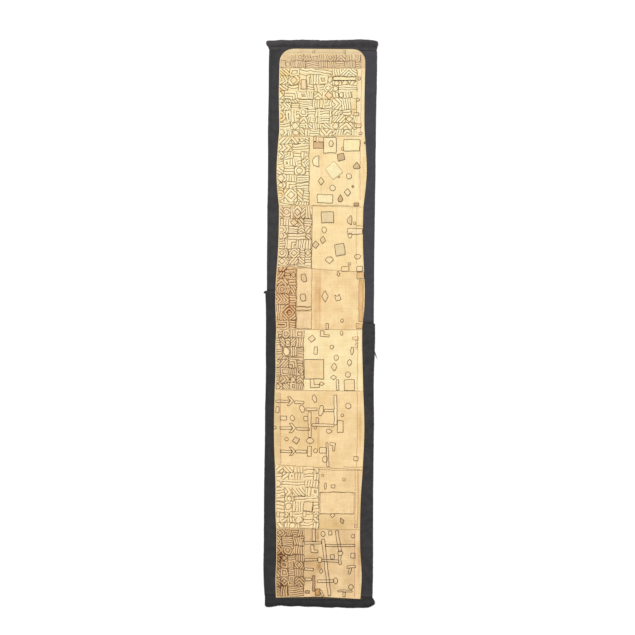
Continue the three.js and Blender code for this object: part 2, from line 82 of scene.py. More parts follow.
# Raffia ground. Nine lengths of plain-woven raffia cloth, each about as wide as a hand loom gives,
# sewn end to end by hand. They pucker a little at the seams and swell between them.
LENGTH_NAMES = ["raffia_heading"] + [f"raffia_panel_{number}" for number in range(1, 9)]
SEAM_HEIGHTS = [
    # left, middle, right, in millimetres along the cloth
    (1708, 1709, 1710),
    (1250, 1252, 1254),
    (788, 785, 780),
    (384, 362, 346),
    (-42, -42, -42),
    (-448, -451, -452),
    (-949, -965, -978),
    (-1372, -1378, -1382),
]
HALF_WIDTH = 300
GATHERED_BY_SEAM = 22  # the gathers die away in about this many millimetres from a seam


def pucker(x, y):
    """How far fine creases lift the raffia cloth at a place, in metres: never below its own lie."""
    x_mm, y_mm = x * 1000, y * 1000
    seams = [np.interp(x_mm, [-HALF_WIDTH, 0, HALF_WIDTH], seam) for seam in SEAM_HEIGHTS]
    near_seam = math.exp(-min(abs(y_mm - seam) for seam in seams) / GATHERED_BY_SEAM)
    gathers = noise.noise((x_mm / 17, y_mm / 70, 3.0)) * near_seam
    creases = noise.noise((x_mm / 90, y_mm / 45, 11.0))
    cockles = noise.noise((x_mm / 28, y_mm / 34, 29.0))
    return 0.001 * max(0.0, 0.55 + 0.9 * gathers + 0.7 * creases + 0.35 * cockles)


def in_scene(name, data):
    """A new object in the scene, with this mesh or curve."""
    made = bpy.data.objects.new(name, data)
    bpy.context.collection.objects.link(made)
    return made


def made_of(name, vertices, faces):
    """A new object in the scene, with a mesh of these vertices and faces."""
    mesh = bpy.data.meshes.new(name)
    mesh.from_pydata(vertices, [], faces)
    return in_scene(name, mesh)


def select_only(*pieces):
    """Selects these pieces and nothing else, and makes the first one active."""
    bpy.ops.object.select_all(action="DESELECT")
    for piece in pieces:
        piece.select_set(True)
    bpy.context.view_layer.objects.active = pieces[0]


def finish_piece(piece, material, slot_name, *replaced):
    """Gives a piece its material, and hides the CAD nodes that it stands for. Its slot name is not used."""
    piece.data.materials.clear()
    piece.data.materials.append(material)
    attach(piece, "root")
    if replaced:
        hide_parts(*replaced)


def shaped_from_node(node_name, name, levels):
    """A smooth copy of a CAD sheet: its facets become soft swells, and its rim stays sharp."""
    piece = in_scene(name, nodes[node_name].data.copy())
    select_only(piece)
    bpy.ops.object.mode_set(mode="EDIT")
    bpy.ops.mesh.select_all(action="SELECT")
    bpy.ops.mesh.remove_doubles(threshold=1e-5)
    bpy.ops.mesh.tris_convert_to_quads(face_threshold=math.radians(30), shape_threshold=math.radians(60))
    bpy.ops.mesh.select_mode(type="EDGE")
    bpy.ops.mesh.select_all(action="DESELECT")
    bpy.ops.mesh.edges_select_sharp(sharpness=math.radians(40))
    bpy.ops.transform.edge_crease(value=1)
    bpy.ops.object.mode_set(mode="OBJECT")
    rounding = piece.modifiers.new("rounding", "SUBSURF")
    rounding.levels = levels
    rounding.render_levels = levels
    bpy.ops.object.modifier_apply(modifier=rounding.name)
    return piece


def smooth_by_angle(piece, degrees):
    """Shades a piece smooth, but for its edges that are sharper than this."""
    select_only(piece)
    bpy.ops.object.shade_smooth_by_angle(angle=math.radians(degrees))
    piece.select_set(False)


def as_dyed(red, green, blue):
    """The colour that a cloth needs, to show as this sRGB colour when it lies flat under the light."""
    def linear(value):
        value /= 255
        shown = value / 12.92 if value <= 0.04045 else ((value + 0.055) / 1.055) ** 2.4
        return min(0.95, shown / LIGHT_ON_FLAT_CLOTH)

    return (linear(red), linear(green), linear(blue), 1)


def add_node(tree, kind, inputs=(), **settings):
    """A shader node of a kind, with its settings, and each named input set or linked to an output."""
    made = tree.nodes.new(kind)
    for setting, value in settings.items():
        setattr(made, setting, value)
    for socket, value in dict(inputs).items():
        if isinstance(value, bpy.types.NodeSocket):
            tree.links.new(value, made.inputs[socket])
        else:
            made.inputs[socket].default_value = value
    return made


def new_group(name, inputs, outputs):
    """An empty node group with float inputs, each with its default, and float outputs."""
    tree = bpy.data.node_groups.new(name, "ShaderNodeTree")
    tree.interface.new_socket("Vector", in_out="INPUT", socket_type="NodeSocketVector")
    for socket_name, default in inputs.items():
        socket = tree.interface.new_socket(socket_name, in_out="INPUT", socket_type="NodeSocketFloat")
        socket.default_value = default
    for socket_name in outputs:
        tree.interface.new_socket(socket_name, in_out="OUTPUT", socket_type="NodeSocketFloat")
    return tree, tree.nodes.new("NodeGroupInput").outputs, tree.nodes.new("NodeGroupOutput").inputs


def calculate(tree, operation, *values):
    """The result of a Math node on up to three sockets or numbers."""
    inputs = {index: value for index, value in enumerate(values)}
    return add_node(tree, "ShaderNodeMath", inputs, operation=operation).outputs[0]


# Plain weave: at each crossing the warp or the weft is on top, in turn. Every thread has its own tone,
# because each is one strip of leaf.
weave, weave_in, weave_out = new_group("Plain weave", {"Thread": 0.0017}, ["Height", "Tone"])
split = add_node(weave, "ShaderNodeSeparateXYZ", {"Vector": weave_in["Vector"]})
across = calculate(weave, "DIVIDE", split.outputs["X"], weave_in["Thread"])
along = calculate(weave, "DIVIDE", split.outputs["Y"], weave_in["Thread"])
warp = calculate(weave, "FLOOR", across)
weft = calculate(weave, "FLOOR", along)
turn = calculate(weave, "PINGPONG", calculate(weave, "ADD", warp, weft), 1.0)
warp_round = calculate(weave, "PINGPONG", calculate(weave, "MULTIPLY", across, 2.0), 1.0)
weft_round = calculate(weave, "PINGPONG", calculate(weave, "MULTIPLY", along, 2.0), 1.0)
warp_tone = add_node(weave, "ShaderNodeTexWhiteNoise", {"W": warp}, noise_dimensions="1D").outputs["Value"]
seed = calculate(weave, "ADD", weft, 0.5)
weft_tone = add_node(weave, "ShaderNodeTexWhiteNoise", {"W": seed}, noise_dimensions="1D").outputs["Value"]
for socket, of_warp, of_weft in (("Height", warp_round, weft_round), ("Tone", warp_tone, weft_tone)):
    step = calculate(weave, "SUBTRACT", of_weft, of_warp)
    weave.links.new(calculate(weave, "MULTIPLY_ADD", step, turn, of_warp), weave_out[socket])

# Age: soft stains, and slubs where a strip of leaf is thicker or darker, along and across the cloth.
age, age_in, age_out = new_group("Age", {"Stain Size": 0.12, "Slub": 0.006}, ["Stain", "Slubs", "Mottle"])


def noise_over(tree, vector, scale, detail, roughness=0.5):
    """Soft random values over the cloth, from 0 to 1."""
    inputs = {"Vector": vector, "Scale": scale, "Detail": detail, "Roughness": roughness}
    return add_node(tree, "ShaderNodeTexNoise", inputs).outputs[0]


def streaks(tree, vector, width, stretch):
    """Noise drawn out along one axis, as wide across it as the width socket says."""
    scaled = add_node(tree, "ShaderNodeVectorMath", {0: vector, 1: stretch}, operation="MULTIPLY")
    return noise_over(tree, scaled.outputs[0], calculate(tree, "DIVIDE", 1.0, width), 3.0, 0.6)


stain = streaks(age, age_in["Vector"], age_in["Stain Size"], (1.0, 1.0, 1.0))
stain_ramp = add_node(age, "ShaderNodeMapRange", {"Value": stain, "From Min": 0.38, "From Max": 0.68})
age.links.new(stain_ramp.outputs[0], age_out["Stain"])
slubs_down = streaks(age, age_in["Vector"], age_in["Slub"], (1.0, 0.06, 1.0))
slubs_over = streaks(age, age_in["Vector"], age_in["Slub"], (0.06, 1.0, 1.0))
age.links.new(calculate(age, "ADD", slubs_down, slubs_over), age_out["Slubs"])
age.links.new(streaks(age, age_in["Vector"], age_in["Slub"], (0.5, 0.5, 1.0)), age_out["Mottle"])


def blot(tree, place, x, y, radius_x, radius_y, strength):
    """A soft mark, used for stains and for painted shade along the fold crease: its strength in its middle,
    and nothing past its radii, in millimetres.
    """
    shift = (-x / radius_x, -y / radius_y, 0.0)
    grow = (1000 / radius_x, 1000 / radius_y, 0.0)
    inputs = {0: place, 1: grow, 2: shift}
    moved = add_node(tree, "ShaderNodeVectorMath", inputs, operation="MULTIPLY_ADD").outputs[0]
    distance = add_node(tree, "ShaderNodeVectorMath", {0: moved}, operation="LENGTH").outputs["Value"]
    inputs = {"Value": distance, "From Min": 1.0, "From Max": 0.0, "To Max": strength}
    return add_node(tree, "ShaderNodeMapRange", inputs, interpolation_type="SMOOTHSTEP").outputs[0]


TONE_SPREAD = {"slubs": 0.36, "mottle": 0.24, "thread": 0.2}


def new_material(name):
    """A material, with its node tree, its shader and the place on the piece that it reads."""
    material = bpy.data.materials.new(name)
    material.use_nodes = True
    tree = material.node_tree
    place = add_node(tree, "ShaderNodeTexCoord").outputs["Object"]
    return material, tree, tree.nodes["Principled BSDF"], place


def between(tree, factor, low, high, **settings):
    """The colour that lies between two sRGB colours by this factor."""
    colours = {"Factor": factor, "A": as_dyed(*low), "B": as_dyed(*high)}
    return add_node(tree, "ShaderNodeMix", colours, data_type="RGBA", **settings).outputs["Result"]


def emboss(tree, shader, height, strength, distance):
    """Gives a surface the fine relief of its threads or fibres."""
    relief = {"Height": height, "Strength": strength, "Distance": distance}
    tree.links.new(add_node(tree, "ShaderNodeBump", relief).outputs[0], shader.inputs["Normal"])


def toned(tree, value, spread, mean=0.5):
    """A tone that follows a value up and down, and is 1 where the value is at its mean."""
    return calculate(tree, "MULTIPLY_ADD", value, spread, 1 - spread * mean)


def woven_cloth(name, clean, stained, blots=(), contrast=1.0, stain_size=0.12, slub=0.006, thread=0.0017):
    """A woven cloth that goes from one sRGB colour to the other where it is stained, and where painted shade
    lies along a fold crease.
    """
    material, tree, shader, place = new_material(name)
    threads = add_node(tree, "ShaderNodeGroup", {"Vector": place, "Thread": thread}, node_tree=weave).outputs
    wear = {"Vector": place, "Stain Size": stain_size, "Slub": slub}
    years = add_node(tree, "ShaderNodeGroup", wear, node_tree=age).outputs
    stain_and_shade = years["Stain"]
    # stains, and painted shade along the fold crease, turn the cloth towards its stained colour
    for stain_and_shade_blot in blots:
        stain_and_shade = calculate(tree, "ADD", stain_and_shade, blot(tree, place, *stain_and_shade_blot))
    tone = toned(tree, years["Slubs"], TONE_SPREAD["slubs"] * contrast, 1)
    for value, part in ((years["Mottle"], "mottle"), (threads["Tone"], "thread")):
        tone = calculate(tree, "MULTIPLY", tone, toned(tree, value, TONE_SPREAD[part] * contrast))
    colour = {0: between(tree, stain_and_shade, clean, stained, clamp_factor=False), "Scale": tone}
    shown = add_node(tree, "ShaderNodeVectorMath", colour, operation="SCALE").outputs[0]
    tree.links.new(shown, shader.inputs["Base Color"])
    roughness = calculate(tree, "MULTIPLY_ADD", threads["Tone"], 0.16, 0.66)
    tree.links.new(roughness, shader.inputs["Roughness"])
    emboss(tree, shader, threads["Height"], 0.35, 0.0008)
    shader.inputs["Specular IOR Level"].default_value = 0.25
    return material


RAFFIA_TONES = {
    # clean sRGB and stained sRGB, as they show on the cloth; the stained colour also gives the painted shade
    # along the centre fold crease
    "raffia_heading": ((237, 216, 171), (228, 198, 150)),
    "raffia_panel_1": ((255, 237, 190), (254, 225, 173)),
    "raffia_panel_2": ((255, 231, 178), (248, 218, 162)),
    "raffia_panel_3": ((255, 228, 174), (247, 216, 158)),
    "raffia_panel_4": ((253, 224, 169), (238, 200, 145)),
    "raffia_panel_5": ((255, 235, 184), (249, 223, 168)),
    "raffia_panel_6": ((251, 220, 167), (239, 205, 149)),
    "raffia_panel_7": ((250, 219, 166), (236, 203, 148)),
    "raffia_panel_8": ((244, 212, 162), (223, 188, 138)),
}
STAINS_AND_FOLD_SHADE = {
    # x, y, radius across, radius along in millimetres, and strength
    # the long narrow marks near x = 0 on the lengths are painted shade along the centre fold crease
    "raffia_panel_2": [(2, 1000, 16, 260, 0.8), (284, 1010, 18, 300, 1.0), (238, 1010, 24, 300, -0.6)],
    "raffia_panel_3": [(4, 560, 14, 230, 0.6), (216, 570, 30, 260, -0.35)],
    "raffia_panel_4": [(-28, 170, 34, 380, 1.1), (-4, 180, 14, 320, 1.1)],
    "raffia_panel_5": [(6, -250, 14, 200, 0.5), (45, -170, 60, 80, 0.8)],
    "raffia_panel_6": [(-8, -780, 13, 220, 1.1), (-110, -700, 200, 330, 0.6), (0, -520, 60, 90, 0.6),
                       (272, -700, 20, 280, 1.5)],
    "raffia_panel_7": [(110, -1345, 260, 90, 1.3), (20, -1010, 60, 60, 0.4), (262, -1170, 20, 260, 1.2)],
    "raffia_panel_8": [(-50, -1600, 90, 330, 1.1), (-8, -1425, 14, 60, 1.4), (2, -1630, 24, 42, 1.4),
                       (268, -1600, 16, 230, 0.9), (215, -1560, 120, 300, 0.3)],
    "field_heading": [(90, 1757, 170, 80, 1.0)],
    "field_1": [(-255, 1670, 80, 60, 1.7), (-272, 1560, 40, 80, 1.2), (-270, 1380, 45, 50, 0.9),
                (-180, 1620, 60, 40, 0.5)],
    "field_2": [(-268, 880, 60, 60, 1.3), (-160, 860, 50, 50, 1.2)],
    "field_3": [(-150, 700, 90, 80, 0.8)],
    "field_4": [(-205, 85, 60, 70, 1.2), (-250, 330, 70, 70, 0.8)],
    "field_5": [(-190, -300, 90, 90, 0.5)],
    "field_8": [(-262, -1560, 60, 120, 1.2), (-250, -1760, 60, 90, 0.8)],
}
raffia_lengths = {}
for length_name in LENGTH_NAMES:
    length = shaped_from_node(length_name, length_name + "_cloth", 3)
    for vertex in length.data.vertices:
        vertex.co.z += pucker(vertex.co.x, vertex.co.y)
    smooth_by_angle(length, 40)
    clean, stained = RAFFIA_TONES[length_name]
    cloth = woven_cloth(length_name + "_weave", clean, stained, STAINS_AND_FOLD_SHADE.get(length_name, ()), 0.6)
    finish_piece(length, cloth, "raffia", length_name)
    raffia_lengths[length_name.split("_")[-1]] = length


def top_of(pieces):
    """A tree of all the faces of some pieces, to ask how high their top is."""
    vertices, faces = [], []
    for piece in pieces:
        first = len(vertices)
        vertices += [vertex.co.copy() for vertex in piece.data.vertices]
        faces += [[first + index for index in polygon.vertices] for polygon in piece.data.polygons]
    return BVHTree.FromPolygons(vertices, faces)


ABOVE_ALL = 0.1


def height_at(tops, x, y):
    """The highest point of the pieces at a place, or None beside them."""
    place, _, _, _ = tops.ray_cast(Vector((x, y, ABOVE_ALL)), Vector((0, 0, -1)))
    return None if place is None else place.z


# The border is black cotton cloth, doubled, under the edges of the raffia cloth. It is made of six strips,
# and its hems wander a little.
WAVERING = {"end": 1862, "side": 345}  # in millimetres from the middle: the cloth lies straight inside these


def rumple_edge(strip, most):
    """Pushes the outer edge of a strip in and out, by about this many millimetres."""
    for vertex in strip.data.vertices:
        x, y = vertex.co.x * 1000, vertex.co.y * 1000
        at_end = max(0.0, abs(y) - WAVERING["end"]) / 30
        at_side = max(0.0, abs(x) - WAVERING["side"]) / 20
        waver = noise.noise((x / 15, y / 15, 41.0)) + 0.8 * noise.noise((x / 40, y / 40, 43.0))
        vertex.co.y += most / 1000 * waver * min(1, at_end)
        vertex.co.x += most / 1000 * waver * min(1, at_side) * (at_end == 0)


ROLLED_STRIPS = ("border_top", "border_bottom")
BORDER_CLOTHS = {
    # clean sRGB and worn sRGB
    "border_left_upper": ((52, 51, 52), (62, 60, 62)),
    "border_left_lower": ((42, 42, 42), (52, 51, 51)),
    "border_right_upper": ((62, 61, 66), (70, 68, 73)),
    "border_right_lower": ((46, 45, 47), (60, 57, 59)),
    "border_top": ((56, 54, 55), (72, 69, 70)),
    "border_bottom": ((30, 30, 31), (42, 41, 42)),
}
border_pieces = []
for border_name, (clean, stained) in BORDER_CLOTHS.items():
    strip = shaped_from_node(border_name, border_name + "_cloth", 2)
    rumple_edge(strip, 1.9 if border_name in ROLLED_STRIPS else 0.9)
    smooth_by_angle(strip, 50)
    cloth = woven_cloth(border_name + "_weave", clean, stained, (), 0.8, 0.05, 0.004, 0.0011)
    finish_piece(strip, cloth, "black_cloth", border_name)
    border_pieces.append(strip)

# Fields of close patchwork. Down the left of most lengths, and all over the first, a second raffia cloth is
# sewn on, and on it strips of cloth lie side by side in blocks. Dark thread holds both edges of each strip.
FIELD_LAYER = 0.0012
CLEARANCE = 0.0003
LOWEST_BED = 0.002  # where a piece reaches past all that is under it
TURNED_EDGE = 0.45  # the share of its thickness that cloth has at its turned edge


def outline_of(node_name):
    """The outline of a CAD sheet seen from above, as a list of places in order round it."""
    sheet_mesh = bmesh.new()
    sheet_mesh.from_mesh(nodes[node_name].data)
    bmesh.ops.remove_doubles(sheet_mesh, verts=sheet_mesh.verts, dist=1e-5)
    sides = [face for face in sheet_mesh.faces if face.normal.z < 0.5]
    bmesh.ops.delete(sheet_mesh, geom=sides, context="FACES")
    following = {}
    for edge in sheet_mesh.edges:
        if edge.is_boundary:
            loop = edge.link_loops[0]
            following[loop.vert] = loop.link_loop_next.vert
    first = next(iter(following))
    ring = [first]
    while following[ring[-1]] is not first:
        ring.append(following[ring[-1]])
    outline = [(vertex.co.x, vertex.co.y) for vertex in ring]
    sheet_mesh.free()
    return outline


def laid_cloth(name, outlines, tops, thickness, cell=0.012, rim=0.0025):
    """Cloth cut to outlines and laid on what is under it, with its edges turned under and so rounded."""
    cloth = bmesh.new()
    for outline in outlines:
        cloth.faces.new([cloth.verts.new((x, y, 0)) for x, y in outline])
    bmesh.ops.recalc_face_normals(cloth, faces=cloth.faces)
    for face in cloth.faces:
        if face.normal.z < 0:
            face.normal_flip()
    bmesh.ops.inset_individual(cloth, faces=cloth.faces[:], thickness=rim, use_even_offset=True)
    for axis in (0, 1):
        values = [vertex.co[axis] for vertex in cloth.verts]
        normal = Vector((0, 0, 0))
        normal[axis] = 1
        for number in range(math.ceil(min(values) / cell), math.floor(max(values) / cell) + 1):
            everything = cloth.verts[:] + cloth.edges[:] + cloth.faces[:]
            bmesh.ops.bisect_plane(cloth, geom=everything, dist=1e-5, plane_co=normal * number * cell,
                                   plane_no=normal)
    cloth.verts.index_update()
    count = len(cloth.verts)
    low, high = [], []
    for vertex in cloth.verts:
        x, y = vertex.co.xy
        bed = (height_at(tops, x, y) or LOWEST_BED) + CLEARANCE
        low.append((x, y, bed))
        high.append((x, y, bed + thickness * (TURNED_EDGE if vertex.is_boundary else 1)))
    faces = [[vertex.index + count for vertex in face.verts] for face in cloth.faces]
    faces += [[vertex.index for vertex in reversed(face.verts)] for face in cloth.faces]
    for edge in cloth.edges:
        if edge.is_boundary:
            loop = edge.link_loops[0]
            a, b = loop.vert.index, loop.link_loop_next.vert.index
            faces.append([a, b, b + count, a + count])
    cloth.free()
    piece = made_of(name, low + high, faces)
    smooth_by_angle(piece, 60)
    return piece


FIELDS = {
    # clean sRGB, stained sRGB, strip sRGB (lighter than the ground: a painted highlight on the raised
    # strips), thread, pitch of the stitched lines in millimetres
    "field_heading": ((238, 208, 158), (216, 186, 150), (240, 212, 168), "faint", 14),
    "field_1": ((255, 235, 180), (246, 211, 151), (255, 243, 199), "brown", 16.5),
    "field_2": ((255, 233, 178), (245, 215, 157), (255, 243, 199), "brown", 17),
    "field_3": ((248, 218, 169), (222, 190, 140), (255, 232, 187), "brown", 16),
    "field_4": ((228, 186, 135), (188, 134, 88), (242, 204, 152), "red", 15.5),
    "field_5": ((227, 192, 144), (204, 168, 120), (250, 219, 170), "olive", 14.5),
    "field_7": ((250, 220, 168), (236, 204, 150), (255, 232, 182), "brown", 19),
    "field_8": ((207, 169, 120), (162, 118, 78), (232, 195, 147), "dark", 13.5),
}
length_tops = top_of(raffia_lengths.values())
field_pieces = {}
for field_name, (clean, stained, _, _, _) in FIELDS.items():
    field = laid_cloth(field_name + "_cloth", [outline_of(field_name)], length_tops, FIELD_LAYER, 0.008)
    cloth = woven_cloth(field_name + "_weave", clean, stained, STAINS_AND_FOLD_SHADE.get(field_name, ()), 1, 0.07)
    finish_piece(field, cloth, "patchwork", field_name)
    field_pieces[field_name] = field

# Patches. Single pieces of raffia cloth are sewn on over holes and stains, and for the pattern that they
# make. Each has its edge turned under, and dark thread holds it all round.
PATCH_LAYER = 0.0012
PATCH_CLOTHS = {
    # clean sRGB, stained sRGB, thread of its edge, slot
    "patch_1_pale_block": ((252, 225, 180), (240, 209, 160), "chestnut", "pale_raffia"),
    "patch_1_long_bar": ((255, 243, 192), (254, 233, 178), "chestnut", "pale_raffia"),
    "patch_1_lozenge": ((252, 224, 178), (242, 208, 158), "chestnut", "pale_raffia"),
    "patch_2_brown_block": ((222, 186, 140), (206, 168, 122), "red", "brown_raffia"),
    "patch_2_tall_block": ((255, 236, 190), (250, 226, 174), "dark", "pale_raffia"),
    "patch_2_wide_block": ((255, 240, 188), (252, 234, 174), "chestnut", "pale_raffia"),
    "patch_2_hatched": ((216, 188, 142), (198, 168, 124), "dark", "brown_raffia"),
    "patch_2_half_disc": ((255, 240, 192), (252, 232, 180), "chestnut", "pale_raffia"),
    "patch_2_faint_block": ((252, 238, 190), (246, 228, 174), "pale", "pale_raffia"),
    "patch_2_heart": ((228, 198, 150), (208, 176, 128), "dark", "brown_raffia"),
    "patch_2_lozenge_left": ((250, 228, 172), (240, 214, 156), "chestnut", "pale_raffia"),
    "patch_2_disc_upper": ((255, 234, 184), (244, 218, 166), "chestnut", "pale_raffia"),
    "patch_2_disc_lower": ((255, 236, 186), (246, 222, 170), "chestnut", "pale_raffia"),
    "patch_2_lozenge_right": ((255, 236, 186), (246, 222, 170), "dark", "pale_raffia"),
    "patch_2_drop": ((214, 180, 130), (196, 160, 110), "dark", "brown_raffia"),
    "patch_2_low_block": ((255, 239, 190), (250, 230, 178), "chestnut", "pale_raffia"),
    "patch_3_grey_block": ((239, 216, 170), (227, 202, 156), "dark", "grey_raffia"),
    "patch_3_leaf": ((244, 214, 168), (230, 198, 150), "chestnut", "grey_raffia"),
    "patch_3_edge_bar": ((255, 232, 190), (250, 222, 176), "chestnut", "pale_raffia"),
    "patch_3_lozenge_mid": ((240, 212, 162), (228, 196, 146), "chestnut", "pale_raffia"),
    "patch_3_lozenge_left": ((238, 208, 158), (226, 194, 144), "dark", "pale_raffia"),
    "patch_3_grey_tilted": ((241, 217, 170), (228, 202, 156), "dark", "grey_raffia"),
    "patch_3_house": ((255, 231, 180), (246, 217, 166), "chestnut", "pale_raffia"),
    "patch_4_tall": ((250, 219, 168), (239, 205, 154), "sewing", "pale_raffia"),
    "patch_4_low": ((248, 216, 168), (236, 202, 150), "sewing", "raffia"),
    "patch_4_lozenge": ((250, 220, 168), (240, 206, 154), "chestnut", "pale_raffia"),
    "patch_4_edge_strip": ((236, 192, 134), (222, 176, 118), "sewing", "brown_raffia"),
    "patch_5_big_block": ((248, 218, 164), (240, 205, 149), "dark", "raffia"),
    "patch_5_right_block": ((252, 226, 174), (246, 216, 164), "chestnut", "raffia"),
    "patch_5_tilted": ((252, 226, 176), (242, 212, 162), "chestnut", "pale_raffia"),
    "patch_6_stem": ((246, 216, 164), (236, 202, 150), "chestnut", "raffia"),
    "patch_6_tall_bar": ((255, 234, 186), (248, 222, 172), "chestnut", "pale_raffia"),
    "patch_6_upright": ((248, 220, 168), (238, 206, 154), "chestnut", "pale_raffia"),
    "patch_7_band": ((249, 218, 166), (238, 203, 150), "faint", "pale_raffia"),
    "patch_8_leaning_bar": ((240, 208, 160), (226, 190, 142), "dark", "raffia"),
}
first_layer_tops = top_of([*raffia_lengths.values(), *field_pieces.values()])
patch_pieces = {}
sewn_edges = {}  # for each thread, the edges that it holds, in millimetres
for patch_name, (clean, stained, thread_name, slot_name) in PATCH_CLOTHS.items():
    edge = outline_of(patch_name)
    patch = laid_cloth(patch_name + "_cloth", [edge], first_layer_tops, PATCH_LAYER)
    cloth = woven_cloth(patch_name + "_weave", clean, stained, (), 0.7, 0.05)
    finish_piece(patch, cloth, slot_name, patch_name)
    patch_pieces[patch_name] = patch
    sewn_edges.setdefault(thread_name, []).append([(x * 1000, y * 1000) for x, y in edge])
patch_tops = top_of(patch_pieces.values())

# In each field the blocks go across in bands, from the heading down. A group of bands has its left edge and
# its foot, and a band has its top and its blocks. A block has how its strips run and its right edge. All is
# in millimetres.
BANDS = {
    "field_heading": [(-308, 1712, {
        1802: "plain -205, upright -170, round -125, right -70, square -18, upright 22, round 95, up 158, "
              "upright 200, square 222, upright 262",
        1757: "plain -240, round -205, upright -168, upright -105, across -18, upright 22, upright 92, "
              "across 150, upright 205, plain 225, across 262",
    })],
    "field_1": [(-308, 1254, {
        1706: "falling -215, square -150", 1655: "right -225, lozenge -150",
        1598: "falling -225, across -150", 1555: "lozenge -250, ne -165, upright -150",
        1500: "lozenge -250, falling -150", 1475: "right -200, across -150",
        1425: "round -240, square -200, upright -170, round -150", 1345: "across -205, lozenge -150",
        1300: "lozenge -225, upright -195, round -150",
    }), (-150, 1254, {
        1706: "across 72", 1665: "plain -100, nw -72, upright -20, square 40, lozenge 72",
        1600: "plain -100, across -52, upright -16, across 20, round 72",
        1550: "square -100, upright -50, up 5, upright 20, plain 72",
        1500: "across -60, upright -12, upright 20, se 72",
        1440: "round -95, across -42, upright -15, across 55, upright 72",
        1385: "up -90, upright -60, across -40, upright -15, across 55, upright 72",
        1340: "ne -90, falling -60, upright 0, falling 58, upright 72",
        1300: "falling -112, upright -80, across -10, down 72",
    }), (72, 1254, {
        1706: "upright 130, up 236", 1655: "plain 236", 1625: "round 130, lozenge 180, rising 236",
        1595: "round 110, across 236", 1550: "upright 112, round 150, upright 200, plain 236",
        1510: "right 135, upright 200, plain 236", 1430: "rising 140, across 200, plain 236",
        1395: "rising 160, lozenge 210, upright 236", 1345: "lozenge 118, up 210, plain 236",
        1300: "rising 100, upright 150, up 200, upright 236",
    })],
    "field_2": [(-308, 786, {
        1250: "rising -200, falling -150, round -110, falling -80", 1200: "right -196, across -80",
        1148: "right -252, se -190, across -135, upright -108, across -80",
        1100: "across -252, square -205, upright -165, across -132, left -80",
        1048: "falling -248, across -180, round -110, across -80",
        996: "lozenge -232, upright -165, across -80", 945: "lozenge -232, nw -165, across -80",
        900: "round -248, lozenge -158, falling -120, across -80",
        812: "across -180, rising -145, upright -80",
    })],
    "field_3": [(-308, 364, {
        784: "up -255, round -205, upright -182, lozenge -132, rising -102, upright -62",
        700: "upright -205, lozenge -155, falling -112, across -62",
        652: "round -220, across -155, up -110, rising -62", 600: "lozenge -222, across -102, falling -62",
        562: "across -240, upright -215, nw -165, upright -62",
        500: "round -215, lozenge -140, across -108, lozenge -62",
        440: "lozenge -210, rising -150, falling -112, across -62",
        392: "across -200, upright -150, across -62",
    })],
    "field_4": [(-308, -40, {
        381: "lozenge -230, across -162", 345: "rising -240, across -205, lozenge -162",
        300: "up -215, across -162", 255: "round -205, falling -162", 195: "right -212, across -162",
        122: "upright -255, lozenge -162", 20: "square -210, across -162",
    })],
    "field_5": [(-308, -448, {
        -44: "nw -255, round -205, upright -160, square -110",
        -98: "across -268, falling -235, round -200, rising -160, upright -110",
        -160: "across -250, plain -200, upright -150, across -110", -222: "rising -215, across -110",
        -243: "round -265, rising -208, ne -155, across -110",
        -300: "across -265, square -200, upright -150, lozenge -110",
        -350: "across -268, right -200, lozenge -155, up -110",
        -400: "lozenge -250, falling -200, square -155, upright -110",
    })],
    "field_7": [(-308, -1374, {
        -954: "rising -245, falling -172, upright -105, across -38, falling -2",
        -1000: "across -245, rising -205, square -165, upright -105, across -38, upright -2",
        -1050: "round -250, across -95, upright -2",
        -1100: "across -232, right -180, falling -95, upright -52, square -2",
        -1158: "across -232, round -165, across -2",
        -1192: "across -232, round -178, upright -108, plain -42, across -2",
        -1262: "upright -250, right -195, upright -165, across -105, upright -85, across -42, up -2",
        -1300: "upright -250, rising -212, upright -165, lozenge -105, across -42, falling -2",
        -1335: "falling -240, round -120, across -40, upright -2",
    })],
    "field_8": [(-308, -1836, {
        -1376: "lozenge -215, upright -172, across -140, upright -98",
        -1430: "lozenge -250, across -172, upright -130, nw -98",
        -1490: "lozenge -245, round -172, upright -98",
        -1550: "up -255, lozenge -212, across -150, upright -98",
        -1598: "up -255, square -205, upright -165, lozenge -98",
        -1642: "up -255, square -205, across -160, upright -98",
        -1700: "up -255, lozenge -205, sw -162, up -98", -1760: "up -255, upright -205, across -98",
    })],
}
DRAWN_STEP = 2.5


def drawn(corners, closed=False):
    """Places every few millimetres along straight lines from corner to corner."""
    if closed:
        corners = list(corners) + [corners[0]]
    places = []
    for (x0, y0), (x1, y1) in zip(corners, corners[1:]):
        steps = max(1, round(math.hypot(x1 - x0, y1 - y0) / DRAWN_STEP))
        places += [(x0 + (x1 - x0) * k / steps, y0 + (y1 - y0) * k / steps) for k in range(steps)]
    return places + [corners[-1]]


def ring(x, y, radius_x, radius_y, corners):
    turns = [2 * math.pi * (k + 0.5) / corners for k in range(corners)]
    return [(x + radius_x * math.cos(turn), y + radius_y * math.sin(turn)) for turn in turns]


needle = random.Random(7)
PAST = 9  # straight lines start this far outside their block, to reach its edges once they lean


